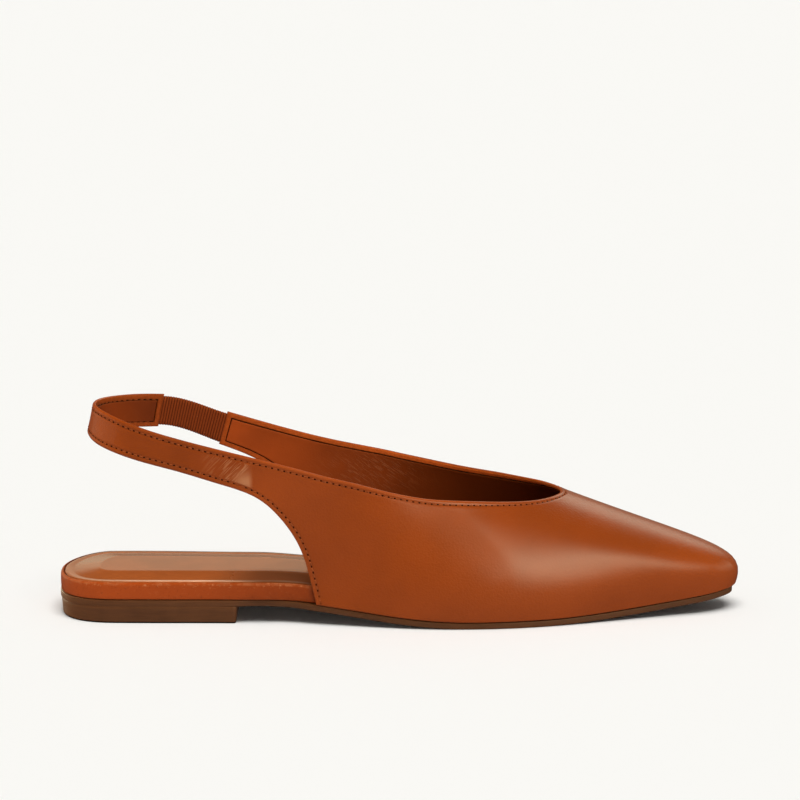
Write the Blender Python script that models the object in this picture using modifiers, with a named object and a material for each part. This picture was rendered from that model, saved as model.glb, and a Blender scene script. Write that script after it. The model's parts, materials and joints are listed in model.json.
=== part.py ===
"""Flat slingback shoe with a pointed closed toe, right foot.

Sizes are in millimetres in the tables and are turned into metres when a mesh is made.
In the tables X runs forward from the back of the heel, Y is positive to the medial
(inner) side and negative to the lateral (outer) side, and Z is the height above the floor.
"""
import bpy
import bmesh
import numpy as np

MM = 0.001                # millimetres to metres

# ---------------------------------------------------------------- driving sizes
LENGTH = 264.0            # back of the heel to the toe end of the feather line
SEAT_UNDER = 6.7          # underside of the outsole above the floor at the heel seat
OUTSOLE_T = 2.4           # outsole thickness
GAP = 0.3                 # clearance between neighbouring pieces
ARCH_START = 78.0         # where the outsole leaves the level heel seat
ARCH_END = 158.0          # where it reaches the floor
TREAD_END = 186.0         # where it leaves the floor again
TOE_SPRING = 6.6          # rise of the outsole at the toe
TOE_SPRING_POWER = 1.7
HEEL_LENGTH = 70.0        # heel block, back to breast
HEEL_TAPER = 0.5          # how far the heel's walls draw in at the floor
WALL = 1.8                # leather and lining of the upper together
RAND_H = 6.4              # insole with its wrapped edge, at the heel seat
INSOLE_T = 3.4            # insole inside the upper
INSOLE_CROWN = 0.9        # rise of the padded footbed towards its middle
INSOLE_EDGE_R = 2.0       # rounding of the insole's top edge
INSOLE_THIN_START = 96.0  # the insole thins between these two stations
INSOLE_THIN_END = 150.0
INSOLE_TUCK_START = 74.0  # the insole narrows between these two, to pass inside the upper
INSOLE_TUCK_END = 96.0
INSOLE_TUCK = 2.5         # wall of the upper and a clearance
OUTSOLE_INSET = 0.8       # the outsole stays this far inside the feather line
WAIST_INSET = 1.4         # and further in under the waist, in front of the heel
OUTSOLE_TOE_INSET = 1.4
ELASTIC_T = 1.2           # gore thickness
ELASTIC_MARGIN = 0.07     # part of the strap's width left free at each gore edge
HEEL_END = ((24.0, 2.6), (17.0, 1.75))    # rounding of the plan outline at the heel: lateral, medial
TOE_END_R, TOE_END_POWER = 15.0, 2.2      # and at the toe
STATIONS = 56             # sections along the sole pieces
RIB_STEPS = 3             # columns of the upper's grid between two ribs
WALL_STEPS = 12           # rows of the upper's grid from lower edge to topline

# Half widths of the feather line, before the two ends are rounded off.
#        x     lateral medial
PLAN = (
    (  0.0,   27.0,   26.9),
    ( 30.0,   28.2,   27.8),
    ( 60.0,   28.4,   26.4),
    ( 85.0,   29.6,   25.8),
    (100.0,   31.6,   26.4),
    (115.0,   34.4,   28.2),
    (130.0,   37.0,   31.0),
    (145.0,   38.4,   34.0),
    (160.0,   38.5,   36.2),
    (175.0,   37.0,   37.0),
    (190.0,   33.6,   35.4),
    (205.0,   28.8,   31.2),
    (220.0,   23.4,   26.0),
    (235.0,   18.2,   20.8),
    (250.0,   13.6,   16.0),
    (265.0,    9.6,   11.8),
)

# Ribs of the sling strap and of the lateral quarter's free rear edge. A rib runs from the
# lower edge to the topline; belly is how far it bows outwards, heading the way it faces.
#   rib             low x,  y,     z      top x,  y,     z     belly heading
SLING = (
    ('strap_end',   (36.5,  25.0, 67.3), (39.3,  23.5, 80.6),  0.0, -272.0),
    ('strap_far',   (28.0,  23.4, 67.4), (30.0,  22.0, 80.9),  0.0, -258.0),
    ('far_turn',    (18.3,  17.2, 68.3), (20.5,  16.2, 81.2),  0.0, -228.0),
    ('far_back',    (12.6,   8.6, 69.4), (15.0,   8.0, 81.5),  0.0, -204.0),
    ('back',        (11.0,   0.0, 69.8), (13.5,   0.0, 81.4),  0.0, -180.0),
    ('near_back',   (12.9,  -8.6, 68.4), (15.2,  -8.0, 80.9),  0.0, -156.0),
    ('near_turn',   (19.0, -17.2, 66.3), (21.0, -16.0, 79.3),  0.0, -132.0),
    ('strap_near',  (31.0, -23.5, 63.0), (31.5, -22.2, 76.0),  0.0, -102.0),
    ('strap_mid',   (47.0, -26.4, 59.2), (47.0, -24.9, 71.6),  0.0,  -97.0),
    ('strap_root',  (63.0, -28.5, 54.7), (64.0, -28.0, 67.7),  0.0,  -97.0),
    ('quarter_a',   (77.1, -29.8, 49.8), (80.0, -29.8, 64.1),  0.05, -97.0),
    ('quarter_b',   (86.2, -30.3, 42.3), (94.0, -30.2, 60.6),  0.24, -95.0),
    ('quarter_c',   (94.5, -30.6, 29.5), (106.0, -30.1, 57.4), 0.73, -92.0),
    ('quarter_d',   (98.4, -30.8, 16.4), (116.0, -30.4, 55.1), 1.41, -90.0),
)

# Ribs that rise from the feather line. lean tilts the foot of the rib outwards, dip is the slope
# below the horizontal at the topline and rake tips the rib forwards along the shoe (degrees);
# the reaches are the rib's handle lengths.
#   rib             x      side  top x,   y,     z      lean  reach  dip  reach  heading rake
LASTED = (
    ('lat_corner',  100.4, -1, (124.0, -30.5, 53.1),     0.0, 16.0, 75.5, 15.0,  -90.0, 27.0),
    ('lat_waist',   116.0, -1, (132.0, -30.2, 51.2),     0.6, 15.0, 70.2, 14.0,  -87.0, 19.0),
    ('lat_arch',    135.0, -1, (141.0, -29.1, 49.4),     7.3, 14.5, 68.6, 13.5,  -86.5,  8.0),
    ('lat_ball',    155.0, -1, (150.0, -27.4, 48.4),    13.5, 14.5, 64.8, 14.0,  -74.4, -2.0),
    ('lat_joint',   175.0, -1, (160.0, -24.8, 47.6),    15.0, 14.0, 59.4, 16.0,  -69.3, -3.0),
    ('lat_vamp_a',   195.0, -1, (171.0, -21.0, 46.7),     15.0, 14.0, 50.7, 20.3,  -53.0,  0.0),
    ('lat_vamp_b',   215.0, -1, (180.6, -16.9, 46.1),     15.0, 13.8, 39.4, 28.8,  -37.4,  0.0),
    ('lat_vamp_c',   235.0, -1, (187.6, -12.5, 45.9),     15.5, 14.0, 29.0, 43.2,  -22.4,  0.0),
    ('lat_toe_a',    252.0, -1, (192.2,  -7.7, 46.1),     16.5, 14.6, 22.9, 58.7,  -10.3,  0.0),
    ('lat_toe_b',    261.0, -1, (194.6,  -3.3, 46.3),     17.5, 15.0, 20.7, 65.8,   -4.2,  0.0),
    ('toe_tip',      264.0,  0, (195.3,   0.7, 46.5),     18.0, 15.0, 20.0, 67.5,   -0.1,  0.0),
    ('med_toe_b',    261.0,  1, (194.6,   4.8, 46.7),     17.5, 15.0, 20.8, 65.9,    3.9,  0.0),
    ('med_toe_a',    252.0,  1, (192.2,   9.5, 47.0),     16.5, 14.6, 23.2, 58.7,    9.9,  0.0),
    ('med_vamp_c',   235.0,  1, (187.6,  15.0, 47.5),     15.5, 14.0, 29.8, 43.3,   21.4,  0.0),
    ('med_vamp_b',   215.0,  1, (180.6,  19.4, 48.2),     15.0, 13.8, 40.8, 28.8,   35.9,  0.0),
    ('med_vamp_a',   195.0,  1, (171.0,  23.4, 49.3),     15.0, 14.0, 52.4, 20.3,   51.3,  0.0),
    ('med_joint',   175.0,  1, (160.0,  26.4, 50.6),    15.0, 14.0, 60.0, 16.0,   66.0, -3.0),
    ('med_ball',    155.0,  1, (150.0,  29.0, 52.1),    14.0, 14.5, 68.0, 14.0,   75.0, -2.0),
    ('med_arch',    135.0,  1, (141.0,  30.6, 53.7),    13.0, 14.5, 74.0, 13.5,   82.0,  8.0),
    ('med_waist',   116.0,  1, (132.0,  31.7, 55.4),     9.9, 15.0, 81.6, 14.0,   87.0, 19.0),
    ('med_corner',  100.4,  1, (124.0,  32.2, 57.0),     7.6, 16.0, 89.7, 15.0,   90.0, 27.0),
)

# Ribs of the medial quarter's free rear edge, up to the stub that takes the gore.
#   rib             low x,  y,    z      top x,  y,    z     belly heading
STUB = (
    ('med_d',       (98.4,  27.1, 17.0), (116.0, 32.2, 58.5), 0.55, 90.0),
    ('med_c',       (94.5,  28.4, 31.0), (106.0, 31.8, 60.6), 0.25, 92.0),
    ('med_b',       (86.2,  29.2, 44.6), (94.0,  31.1, 63.6), 0.0,  95.0),
    ('med_a',       (77.0,  28.9, 52.2), (82.0,  29.6, 67.2), 0.0,  97.0),
    ('stub_end',    (60.4,  27.6, 59.7), (64.0,  26.4, 73.1),  0.0,  97.0),
)

# Principled colours, linear: base, roughness
FINISH = {
    'upper':   ((0.305, 0.058, 0.013), 0.40),
    'insole':  ((0.340, 0.085, 0.026), 0.38),
    'outsole': ((0.098, 0.034, 0.015), 0.55),
    'heel':    ((0.098, 0.034, 0.015), 0.55),
    'elastic': ((0.114, 0.023, 0.008), 0.85),
}


# ---------------------------------------------------------------- curves
def spline(knots, values, at):
    """Natural cubic spline through a table's rows."""
    knots = np.asarray(knots, float)
    values = np.asarray(values, float)
    values = values.reshape(len(knots), -1)
    n, h = len(knots), np.diff(knots)
    system, right = np.eye(n), np.zeros(values.shape)
    for i in range(1, n - 1):
        system[i, i - 1:i + 2] = h[i - 1], 2 * (h[i - 1] + h[i]), h[i]
        right[i] = 6 * ((values[i + 1] - values[i]) / h[i] - (values[i] - values[i - 1]) / h[i - 1])
    bend = np.linalg.solve(system, right)
    at = np.atleast_1d(np.asarray(at, float))
    i = np.clip(np.searchsorted(knots, at, side='right') - 1, 0, n - 2)
    step = h[i][:, None]
    a, b = (knots[i + 1] - at)[:, None], (at - knots[i])[:, None]
    return ((bend[i] * a ** 3 + bend[i + 1] * b ** 3) / (6 * step)
            + (values[i] / step - bend[i] * step / 6) * a
            + (values[i + 1] / step - bend[i + 1] * step / 6) * b)


def ease(t):
    t = np.clip(t, 0.0, 1.0)
    return t * t * (3 - 2 * t)


def underside(x):
    """Height of the outsole's underside: level seat, arch, tread, toe spring."""
    x = np.asarray(x, float)
    arch = SEAT_UNDER * (1 - ease((x - ARCH_START) / (ARCH_END - ARCH_START)))
    toe = np.clip((x - TREAD_END) / (LENGTH - TREAD_END), 0.0, None) ** TOE_SPRING_POWER
    return arch + TOE_SPRING * toe


def feather(x):
    """Height of the feather line, where upper and insole sit over the outsole."""
    return underside(x) + OUTSOLE_T + GAP


def half_width(x, side, start=0.0, stop=LENGTH, inset=0.0):
    """Half width of the plan outline at x, drawn in by inset, with its ends rounded."""
    x = np.atleast_1d(np.asarray(x, float))
    plan = np.array(PLAN)
    full = spline(plan[:, 0], plan[:, 1 if side < 0 else 2], x)[:, 0] - inset
    end_r, power = HEEL_END[0 if side < 0 else 1]
    heel = np.clip(1 - (x - start) / end_r, 0.0, 1.0) ** power
    toe = np.clip(1 - (stop - x) / TOE_END_R, 0.0, 1.0) ** TOE_END_POWER
    return (full * np.clip(1 - heel, 0.0, 1.0) ** (1 / power)
            * np.clip(1 - toe, 0.0, 1.0) ** (1 / TOE_END_POWER))


def stations(start, stop, count, both_ends=True):
    """Sections from start to stop, closer together where the outline is rounded."""
    turn = np.linspace(0.0, 1.0, count + 1)
    if both_ends:
        t = (1 - np.cos(np.pi * turn)) / 2
    else:
        t = 1 - np.cos(np.pi / 2 * turn)
    edge = 0.04
    return start + edge + (stop - start - (2 * edge if both_ends else edge)) * t


# ---------------------------------------------------------------- upper
def ribs():
    """Four handle points for each rib, in order round the shoe, and the corner ribs."""
    table, corners = [], []
    for name, low, top, belly, heading in SLING:
        table.append(band_rib(low, top, belly, heading))
    for row in LASTED:
        if row[0] in ('lat_corner', 'med_corner'):
            corners.append(len(table))
        table.append(lasted_rib(*row[1:]))
    for name, low, top, belly, heading in STUB:
        table.append(band_rib(low, top, belly, heading))
    return np.array(table), corners


def facing(heading):
    a = np.radians(heading)
    return np.array([np.cos(a), np.sin(a), 0.0])


def band_rib(low, top, belly, heading):
    low, top = np.array(low), np.array(top)
    bow = belly * facing(heading)
    return low, low + (top - low) / 3 + bow, top - (top - low) / 3 + bow, top


def lasted_rib(x, side, top, lean, low_reach, dip, top_reach, heading, rake):
    if side == 0:
        low = np.array([x, 0.9, float(feather(x))])
        out = np.array([1.0, 0.0, 0.0])
    else:
        near, far = x - 0.5, x + 0.5
        low = np.array([x, side * half_width(x, side)[0], float(feather(x))])
        slope = half_width(far, side)[0] - half_width(near, side)[0]
        out = np.array([-slope, side * 1.0, 0.0])
        out /= np.linalg.norm(out)
    lean, dip, rake, top = np.radians(lean), np.radians(dip), np.radians(rake), np.array(top)
    rise = np.array([np.sin(rake), 0.0, np.cos(rake)])
    return (low, low + low_reach * (np.sin(lean) * out + np.cos(lean) * rise),
            top + top_reach * (np.cos(dip) * facing(heading) - np.sin(dip) * rise), top)


def upper_face(rib_steps, wall_steps):
    """Grid of the upper's outer face, from the strap's free end round the heel and the toe
    to the medial stub; the second index climbs from the lower edge to the topline."""
    rib, corners = ribs()
    mid = rib.mean(axis=1)
    knots = np.concatenate([[0.0], np.cumsum(np.linalg.norm(np.diff(mid, axis=0), axis=1))])
    along = np.interp(np.arange(rib_steps * (len(knots) - 1) + 1) / rib_steps,
                      np.arange(len(knots)), knots)
    top = spline(knots, rib[:, 3], along)
    low = np.zeros_like(top)
    breaks = [0] + corners + [len(knots) - 1]
    for a, b in zip(breaks[:-1], breaks[1:]):
        span = slice(a * rib_steps, b * rib_steps + 1)
        low[span] = spline(knots[a:b + 1], rib[a:b + 1, 0], along[span])
    foot = low + spline(knots, rib[:, 1] - rib[:, 0], along)
    head = top + spline(knots, rib[:, 2] - rib[:, 3], along)
    v = np.linspace(0.0, 1.0, wall_steps + 1)[None, :, None]
    return ((1 - v) ** 3 * low[:, None] + 3 * (1 - v) ** 2 * v * foot[:, None]
            + 3 * (1 - v) * v ** 2 * head[:, None] + v ** 3 * top[:, None])


def face_normals(grid):
    n = np.cross(np.gradient(grid, axis=0), np.gradient(grid, axis=1))
    return n / np.linalg.norm(n, axis=2, keepdims=True)


# ---------------------------------------------------------------- meshes
def new_object(name, bm, collection, parent):
    mesh = bpy.data.meshes.new(name)
    bm.to_mesh(mesh)
    bm.free()
    mesh.shade_smooth()
    mesh.set_sharp_from_angle(angle=np.radians(35.0))
    obj = bpy.data.objects.new(name, mesh)
    collection.objects.link(obj)
    obj.parent = parent
    base, roughness = FINISH[name]
    material = bpy.data.materials.new(name + '_finish')
    material.use_nodes = True
    shader = material.node_tree.nodes['Principled BSDF']
    shader.inputs['Base Color'].default_value = (*base, 1.0)
    shader.inputs['Roughness'].default_value = roughness
    shader.inputs['Metallic'].default_value = 0.0
    material.diffuse_color = (*base, 1.0)
    mesh.materials.append(material)
    return obj


def sheet(grid):
    """Open surface through a grid of points."""
    bm = bmesh.new()
    vert = [[bm.verts.new(p * MM) for p in row] for row in grid]
    for a, b in zip(vert[:-1], vert[1:]):
        for j in range(len(a) - 1):
            bm.faces.new((a[j], b[j], b[j + 1], a[j + 1]))
    return bm


def loft(sections):
    """Closed solid through rings of points, capped at both ends."""
    bm = bmesh.new()
    ring = [[bm.verts.new(p * MM) for p in section] for section in sections]
    for a, b in zip(ring[:-1], ring[1:]):
        for j in range(len(a)):
            k = (j + 1) % len(a)
            bm.faces.new((a[j], a[k], b[k], b[j]))
    bm.faces.new(ring[0][::-1])
    bm.faces.new(ring[-1])
    bmesh.ops.recalc_face_normals(bm, faces=bm.faces)
    return bm


def solidify(obj, thickness, offset):
    wall = obj.modifiers.new('wall', 'SOLIDIFY')
    wall.thickness = thickness * MM
    wall.offset = offset
    wall.use_even_offset = True
    wall.use_rim = True


def slab_section(x, lateral, medial, low, high, columns=4):
    """Flat ring across the sole: along the underside, then back along the top."""
    y = np.linspace(-lateral, medial, columns + 1)
    under = [np.array([x, v, low]) for v in y]
    over = [np.array([x, v, high]) for v in y[::-1]]
    return under + over


def build_outsole(collection, parent):
    stop = LENGTH - OUTSOLE_TOE_INSET
    sections = []
    for x in stations(0.0, stop, STATIONS):
        inset = OUTSOLE_INSET * ease((x - INSOLE_TUCK_START) / (INSOLE_TUCK_END - INSOLE_TUCK_START))
        inset += WAIST_INSET * ease((x - HEEL_LENGTH + 2.0) / 10.0) * (1 - ease((x - 88.0) / 14.0))
        lateral, medial = (half_width(x, s, 0.0, stop, inset)[0] for s in (-1, 1))
        low = float(underside(x))
        sections.append(slab_section(x, lateral, medial, low, low + OUTSOLE_T))
    return new_object('outsole', loft(sections), collection, parent)


def build_heel(collection, parent):
    high = SEAT_UNDER - GAP
    sections = []
    for x in stations(0.3, HEEL_LENGTH, STATIONS // 3, both_ends=False):
        lateral, medial = (half_width(x, s, 0.3)[0] for s in (-1, 1))
        ring = slab_section(x, lateral, medial, 0.0, high)
        half = len(ring) // 2
        for p in ring[:half]:
            p[0] += HEEL_TAPER * (1 - x / HEEL_LENGTH)
            p[1] *= 1 - HEEL_TAPER / max(lateral, medial, HEEL_TAPER * 4)
        sections.append(ring)
    return new_object('heel', loft(sections), collection, parent)


def build_insole(collection, parent):
    stop = LENGTH - INSOLE_TUCK - 0.6
    sections = []
    for x in stations(0.2, stop, STATIONS):
        inset = INSOLE_TUCK * ease((x - INSOLE_TUCK_START) / (INSOLE_TUCK_END - INSOLE_TUCK_START))
        lateral, medial = (half_width(x, s, 0.2, stop, inset)[0] for s in (-1, 1))
        thin = ease((x - INSOLE_THIN_START) / (INSOLE_THIN_END - INSOLE_THIN_START))
        low = float(feather(x))
        high = low + RAND_H + (INSOLE_T - RAND_H) * thin
        r = min(INSOLE_EDGE_R, 0.45 * lateral, 0.9 * medial)
        crown = INSOLE_CROWN * min(1.0, lateral / 20.0)
        ring = [np.array([x, v, low]) for v in np.linspace(-lateral, medial, 4)]
        turn = np.radians(np.linspace(0.0, 90.0, 4))
        ring += [np.array([x, medial - r * (1 - np.cos(t)), high - r * (1 - np.sin(t))]) for t in turn]
        across = np.linspace(medial - r, r - lateral, 6)[1:-1]
        middle, reach = (medial - lateral) / 2, (medial + lateral) / 2 - r
        ring += [np.array([x, v, high + crown * (1 - ((v - middle) / reach) ** 2)]) for v in across]
        ring += [np.array([x, r * (1 - np.cos(t)) - lateral, high - r * (1 - np.sin(t))]) for t in turn[::-1]]
        sections.append(ring)
    return new_object('insole', loft(sections), collection, parent)


def build_upper(collection, parent):
    upper = new_object('upper', sheet(upper_face(RIB_STEPS, WALL_STEPS)), collection, parent)
    solidify(upper, WALL, -1.0)
    return upper


def build_elastic(collection, parent):
    """Gore between the strap's free end and the medial stub, in the middle of their wall."""
    grid = upper_face(RIB_STEPS * 2, WALL_STEPS)
    normal = face_normals(grid)
    rows = np.linspace(ELASTIC_MARGIN, 1 - ELASTIC_MARGIN, 5) * WALL_STEPS
    ends = []
    for at, inner in ((0, 1), (-1, -2)):
        line = grid[at] - normal[at] * WALL / 2
        away = grid[at] - grid[inner]
        away /= np.linalg.norm(away, axis=1, keepdims=True)
        pick = lambda a: np.stack([np.interp(rows, np.arange(len(a)), a[:, k]) for k in range(3)], 1)
        ends.append((pick(line) + pick(away) * GAP, pick(away)))
    (start, leave), (stop, arrive) = ends
    reach = np.linalg.norm(stop - start, axis=1, keepdims=True)
    columns = []
    for t in np.linspace(0.0, 1.0, 9):
        columns.append((2 * t ** 3 - 3 * t ** 2 + 1) * start + (3 * t ** 2 - 2 * t ** 3) * stop
                       + (t ** 3 - 2 * t ** 2 + t) * reach * leave - (t ** 3 - t ** 2) * reach * arrive)
    elastic = new_object('elastic', sheet(np.array(columns)), collection, parent)
    solidify(elastic, ELASTIC_T, 0.0)
    return elastic


def main():
    for obj in list(bpy.data.objects):
        bpy.data.objects.remove(obj, do_unlink=True)
    collection = bpy.data.collections.new('slingback_shoe')
    bpy.context.scene.collection.children.link(collection)

    # The shoe's frame: middle of its plan at floor level, toe along +X.
    grid = upper_face(RIB_STEPS, WALL_STEPS)
    sole_y = np.concatenate([s * half_width(np.linspace(1.0, LENGTH - 1.0, 400), s) for s in (-1, 1)])
    middle_x = (0.04 + grid[:, :, 0].max()) / 2
    middle_y = (min(grid[:, :, 1].min(), sole_y.min()) + max(grid[:, :, 1].max(), sole_y.max())) / 2
    frame = bpy.data.objects.new('shoe_frame', None)
    frame.location = (-middle_x * MM, -middle_y * MM, 0.0)
    collection.objects.link(frame)

    build_outsole(collection, frame)
    build_heel(collection, frame)
    build_insole(collection, frame)
    build_upper(collection, frame)
    build_elastic(collection, frame)


main()
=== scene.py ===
"""Looks of the flat slingback shoe: leather, lining, stitching, footbed, sole and the studio.

Sizes in the tables are in millimetres in the shoe's own lines: X runs forward from the back of
the heel, Y is positive to the medial side and Z is the height above the floor. They are moved to
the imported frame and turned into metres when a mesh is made.
"""
import json
import math
import bpy
import numpy as np
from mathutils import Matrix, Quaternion, Vector
from mathutils.kdtree import KDTree

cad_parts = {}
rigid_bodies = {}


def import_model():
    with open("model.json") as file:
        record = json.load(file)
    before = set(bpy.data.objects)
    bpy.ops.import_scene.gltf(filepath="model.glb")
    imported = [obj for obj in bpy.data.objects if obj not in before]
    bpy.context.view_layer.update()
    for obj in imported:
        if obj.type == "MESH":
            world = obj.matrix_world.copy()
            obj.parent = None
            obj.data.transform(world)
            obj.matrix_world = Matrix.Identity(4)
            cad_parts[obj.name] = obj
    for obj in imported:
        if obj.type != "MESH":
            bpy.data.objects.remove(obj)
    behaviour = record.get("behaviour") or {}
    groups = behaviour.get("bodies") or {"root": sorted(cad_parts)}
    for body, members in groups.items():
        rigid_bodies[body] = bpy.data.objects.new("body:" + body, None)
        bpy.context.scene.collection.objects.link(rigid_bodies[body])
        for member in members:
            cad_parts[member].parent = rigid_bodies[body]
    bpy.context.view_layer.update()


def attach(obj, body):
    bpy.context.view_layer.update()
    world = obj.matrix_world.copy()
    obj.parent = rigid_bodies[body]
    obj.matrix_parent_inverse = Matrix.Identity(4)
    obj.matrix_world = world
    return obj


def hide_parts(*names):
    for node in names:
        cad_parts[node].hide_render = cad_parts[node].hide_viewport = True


for old in list(bpy.data.objects):
    bpy.data.objects.remove(old, do_unlink=True)

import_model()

MM = 0.001

# ---------------------------------------------------------------- sizes shared with the solids
LENGTH = 264.0
SEAT_UNDER = 6.7
OUTSOLE_T = 2.4
GAP = 0.3
ARCH_START, ARCH_END = 78.0, 158.0
TREAD_END = 186.0
TOE_SPRING, TOE_SPRING_POWER = 6.6, 1.7
HEEL_LENGTH = 70.0
HEEL_TAPER = 0.5
WALL = 1.8
RAND_H = 6.4
INSOLE_T = 3.4
INSOLE_THIN_START, INSOLE_THIN_END = 96.0, 150.0
INSOLE_TUCK_START, INSOLE_TUCK_END, INSOLE_TUCK = 74.0, 96.0, 2.5
OUTSOLE_INSET, WAIST_INSET, OUTSOLE_TOE_INSET = 0.8, 1.4, 1.4
ELASTIC_MARGIN = 0.07
HEEL_END = ((24.0, 2.6), (17.0, 1.75))
TOE_END_R, TOE_END_POWER = 15.0, 2.2

#        x     lateral medial
PLAN = (
    (  0.0,   27.0,   26.9),
    ( 30.0,   28.2,   27.8),
    ( 60.0,   28.4,   26.4),
    ( 85.0,   29.6,   25.8),
    (100.0,   31.6,   26.4),
    (115.0,   34.4,   28.2),
    (130.0,   37.0,   31.0),
    (145.0,   38.4,   34.0),
    (160.0,   38.5,   36.2),
    (175.0,   37.0,   37.0),
    (190.0,   33.6,   35.4),
    (205.0,   28.8,   31.2),
    (220.0,   23.4,   26.0),
    (235.0,   18.2,   20.8),
    (250.0,   13.6,   16.0),
    (265.0,    9.6,   11.8),
)

#   rib             low x,  y,     z      top x,  y,     z     belly heading
SLING = (
    ('strap_end',   (36.5,  25.0, 67.3), (39.3,  23.5, 80.6),  0.0, -272.0),
    ('strap_far',   (28.0,  23.4, 67.4), (30.0,  22.0, 80.9),  0.0, -258.0),
    ('far_turn',    (18.3,  17.2, 68.3), (20.5,  16.2, 81.2),  0.0, -228.0),
    ('far_back',    (12.6,   8.6, 69.4), (15.0,   8.0, 81.5),  0.0, -204.0),
    ('back',        (11.0,   0.0, 69.8), (13.5,   0.0, 81.4),  0.0, -180.0),
    ('near_back',   (12.9,  -8.6, 68.4), (15.2,  -8.0, 80.9),  0.0, -156.0),
    ('near_turn',   (19.0, -17.2, 66.3), (21.0, -16.0, 79.3),  0.0, -132.0),
    ('strap_near',  (31.0, -23.5, 63.0), (31.5, -22.2, 76.0),  0.0, -102.0),
    ('strap_mid',   (47.0, -26.4, 59.2), (47.0, -24.9, 71.6),  0.0,  -97.0),
    ('strap_root',  (63.0, -28.5, 54.7), (64.0, -28.0, 67.7),  0.0,  -97.0),
    ('quarter_a',   (77.1, -29.8, 49.8), (80.0, -29.8, 64.1),  0.05, -97.0),
    ('quarter_b',   (86.2, -30.3, 42.3), (94.0, -30.2, 60.6),  0.24, -95.0),
    ('quarter_c',   (94.5, -30.6, 29.5), (106.0, -30.1, 57.4), 0.73, -92.0),
    ('quarter_d',   (98.4, -30.8, 16.4), (116.0, -30.4, 55.1), 1.41, -90.0),
)
#   rib             x      side  top x,   y,     z      lean  reach  dip  reach  heading rake
LASTED = (
    ('lat_corner',  100.4, -1, (124.0, -30.5, 53.1),     0.0, 16.0, 75.5, 15.0,  -90.0, 27.0),
    ('lat_waist',   116.0, -1, (132.0, -30.2, 51.2),     0.6, 15.0, 70.2, 14.0,  -87.0, 19.0),
    ('lat_arch',    135.0, -1, (141.0, -29.1, 49.4),     7.3, 14.5, 68.6, 13.5,  -86.5,  8.0),
    ('lat_ball',    155.0, -1, (150.0, -27.4, 48.4),    13.5, 14.5, 64.8, 14.0,  -74.4, -2.0),
    ('lat_joint',   175.0, -1, (160.0, -24.8, 47.6),    15.0, 14.0, 59.4, 16.0,  -69.3, -3.0),
    ('lat_vamp_a',   195.0, -1, (171.0, -21.0, 46.7),     15.0, 14.0, 50.7, 20.3,  -53.0,  0.0),
    ('lat_vamp_b',   215.0, -1, (180.6, -16.9, 46.1),     15.0, 13.8, 39.4, 28.8,  -37.4,  0.0),
    ('lat_vamp_c',   235.0, -1, (187.6, -12.5, 45.9),     15.5, 14.0, 29.0, 43.2,  -22.4,  0.0),
    ('lat_toe_a',    252.0, -1, (192.2,  -7.7, 46.1),     16.5, 14.6, 22.9, 58.7,  -10.3,  0.0),
    ('lat_toe_b',    261.0, -1, (194.6,  -3.3, 46.3),     17.5, 15.0, 20.7, 65.8,   -4.2,  0.0),
    ('toe_tip',      264.0,  0, (195.3,   0.7, 46.5),     18.0, 15.0, 20.0, 67.5,   -0.1,  0.0),
    ('med_toe_b',    261.0,  1, (194.6,   4.8, 46.7),     17.5, 15.0, 20.8, 65.9,    3.9,  0.0),
    ('med_toe_a',    252.0,  1, (192.2,   9.5, 47.0),     16.5, 14.6, 23.2, 58.7,    9.9,  0.0),
    ('med_vamp_c',   235.0,  1, (187.6,  15.0, 47.5),     15.5, 14.0, 29.8, 43.3,   21.4,  0.0),
    ('med_vamp_b',   215.0,  1, (180.6,  19.4, 48.2),     15.0, 13.8, 40.8, 28.8,   35.9,  0.0),
    ('med_vamp_a',   195.0,  1, (171.0,  23.4, 49.3),     15.0, 14.0, 52.4, 20.3,   51.3,  0.0),
    ('med_joint',   175.0,  1, (160.0,  26.4, 50.6),    15.0, 14.0, 60.0, 16.0,   66.0, -3.0),
    ('med_ball',    155.0,  1, (150.0,  29.0, 52.1),    14.0, 14.5, 68.0, 14.0,   75.0, -2.0),
    ('med_arch',    135.0,  1, (141.0,  30.6, 53.7),    13.0, 14.5, 74.0, 13.5,   82.0,  8.0),
    ('med_waist',   116.0,  1, (132.0,  31.7, 55.4),     9.9, 15.0, 81.6, 14.0,   87.0, 19.0),
    ('med_corner',  100.4,  1, (124.0,  32.2, 57.0),     7.6, 16.0, 89.7, 15.0,   90.0, 27.0),
)
#   rib             low x,  y,    z      top x,  y,    z     belly heading
STUB = (
    ('med_d',       (98.4,  27.1, 17.0), (116.0, 32.2, 58.5), 0.55, 90.0),
    ('med_c',       (94.5,  28.4, 31.0), (106.0, 31.8, 60.6), 0.25, 92.0),
    ('med_b',       (86.2,  29.2, 44.6), (94.0,  31.1, 63.6), 0.0,  95.0),
    ('med_a',       (77.0,  28.9, 52.2), (82.0,  29.6, 67.2), 0.0,  97.0),
    ('stub_end',    (60.4,  27.6, 59.7), (64.0,  26.4, 73.1), 0.0,  97.0),
)

# ---------------------------------------------------------------- sizes of the finish
FOLD_R = 0.65             # roll of the folded leather at a free edge
FOLD_W = 2.0              # how far the fold reaches inside, where the lining starts
END_R = 0.5               # roll at the strap's free end and at the stub
SEAM_IN = 2.0             # stitch line to edge
STITCH_PITCH = 2.4
STITCH_LEN = 1.75
THREAD_R = 0.24
HOLE_R = 0.45
GORE_RIB = 1.05           # pitch of the gore's ribs

# Fine creases across the strap's root, each a soft trough.
#    x0    z0     x1    z1   depth width
ROOT_CREASES = (
    (57.6, 56.6, 63.8, 64.4, 0.05, 0.45),
    (62.2, 57.4, 69.0, 64.4, 0.07, 0.45),
    (65.0, 56.6, 71.8, 64.0, 0.06, 0.40),
    (67.3, 55.4, 74.8, 63.8, 0.10, 0.45),
    (69.6, 54.6, 75.4, 61.6, 0.08, 0.40),
    (71.6, 54.0, 75.8, 59.0, 0.08, 0.40),
)


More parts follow.
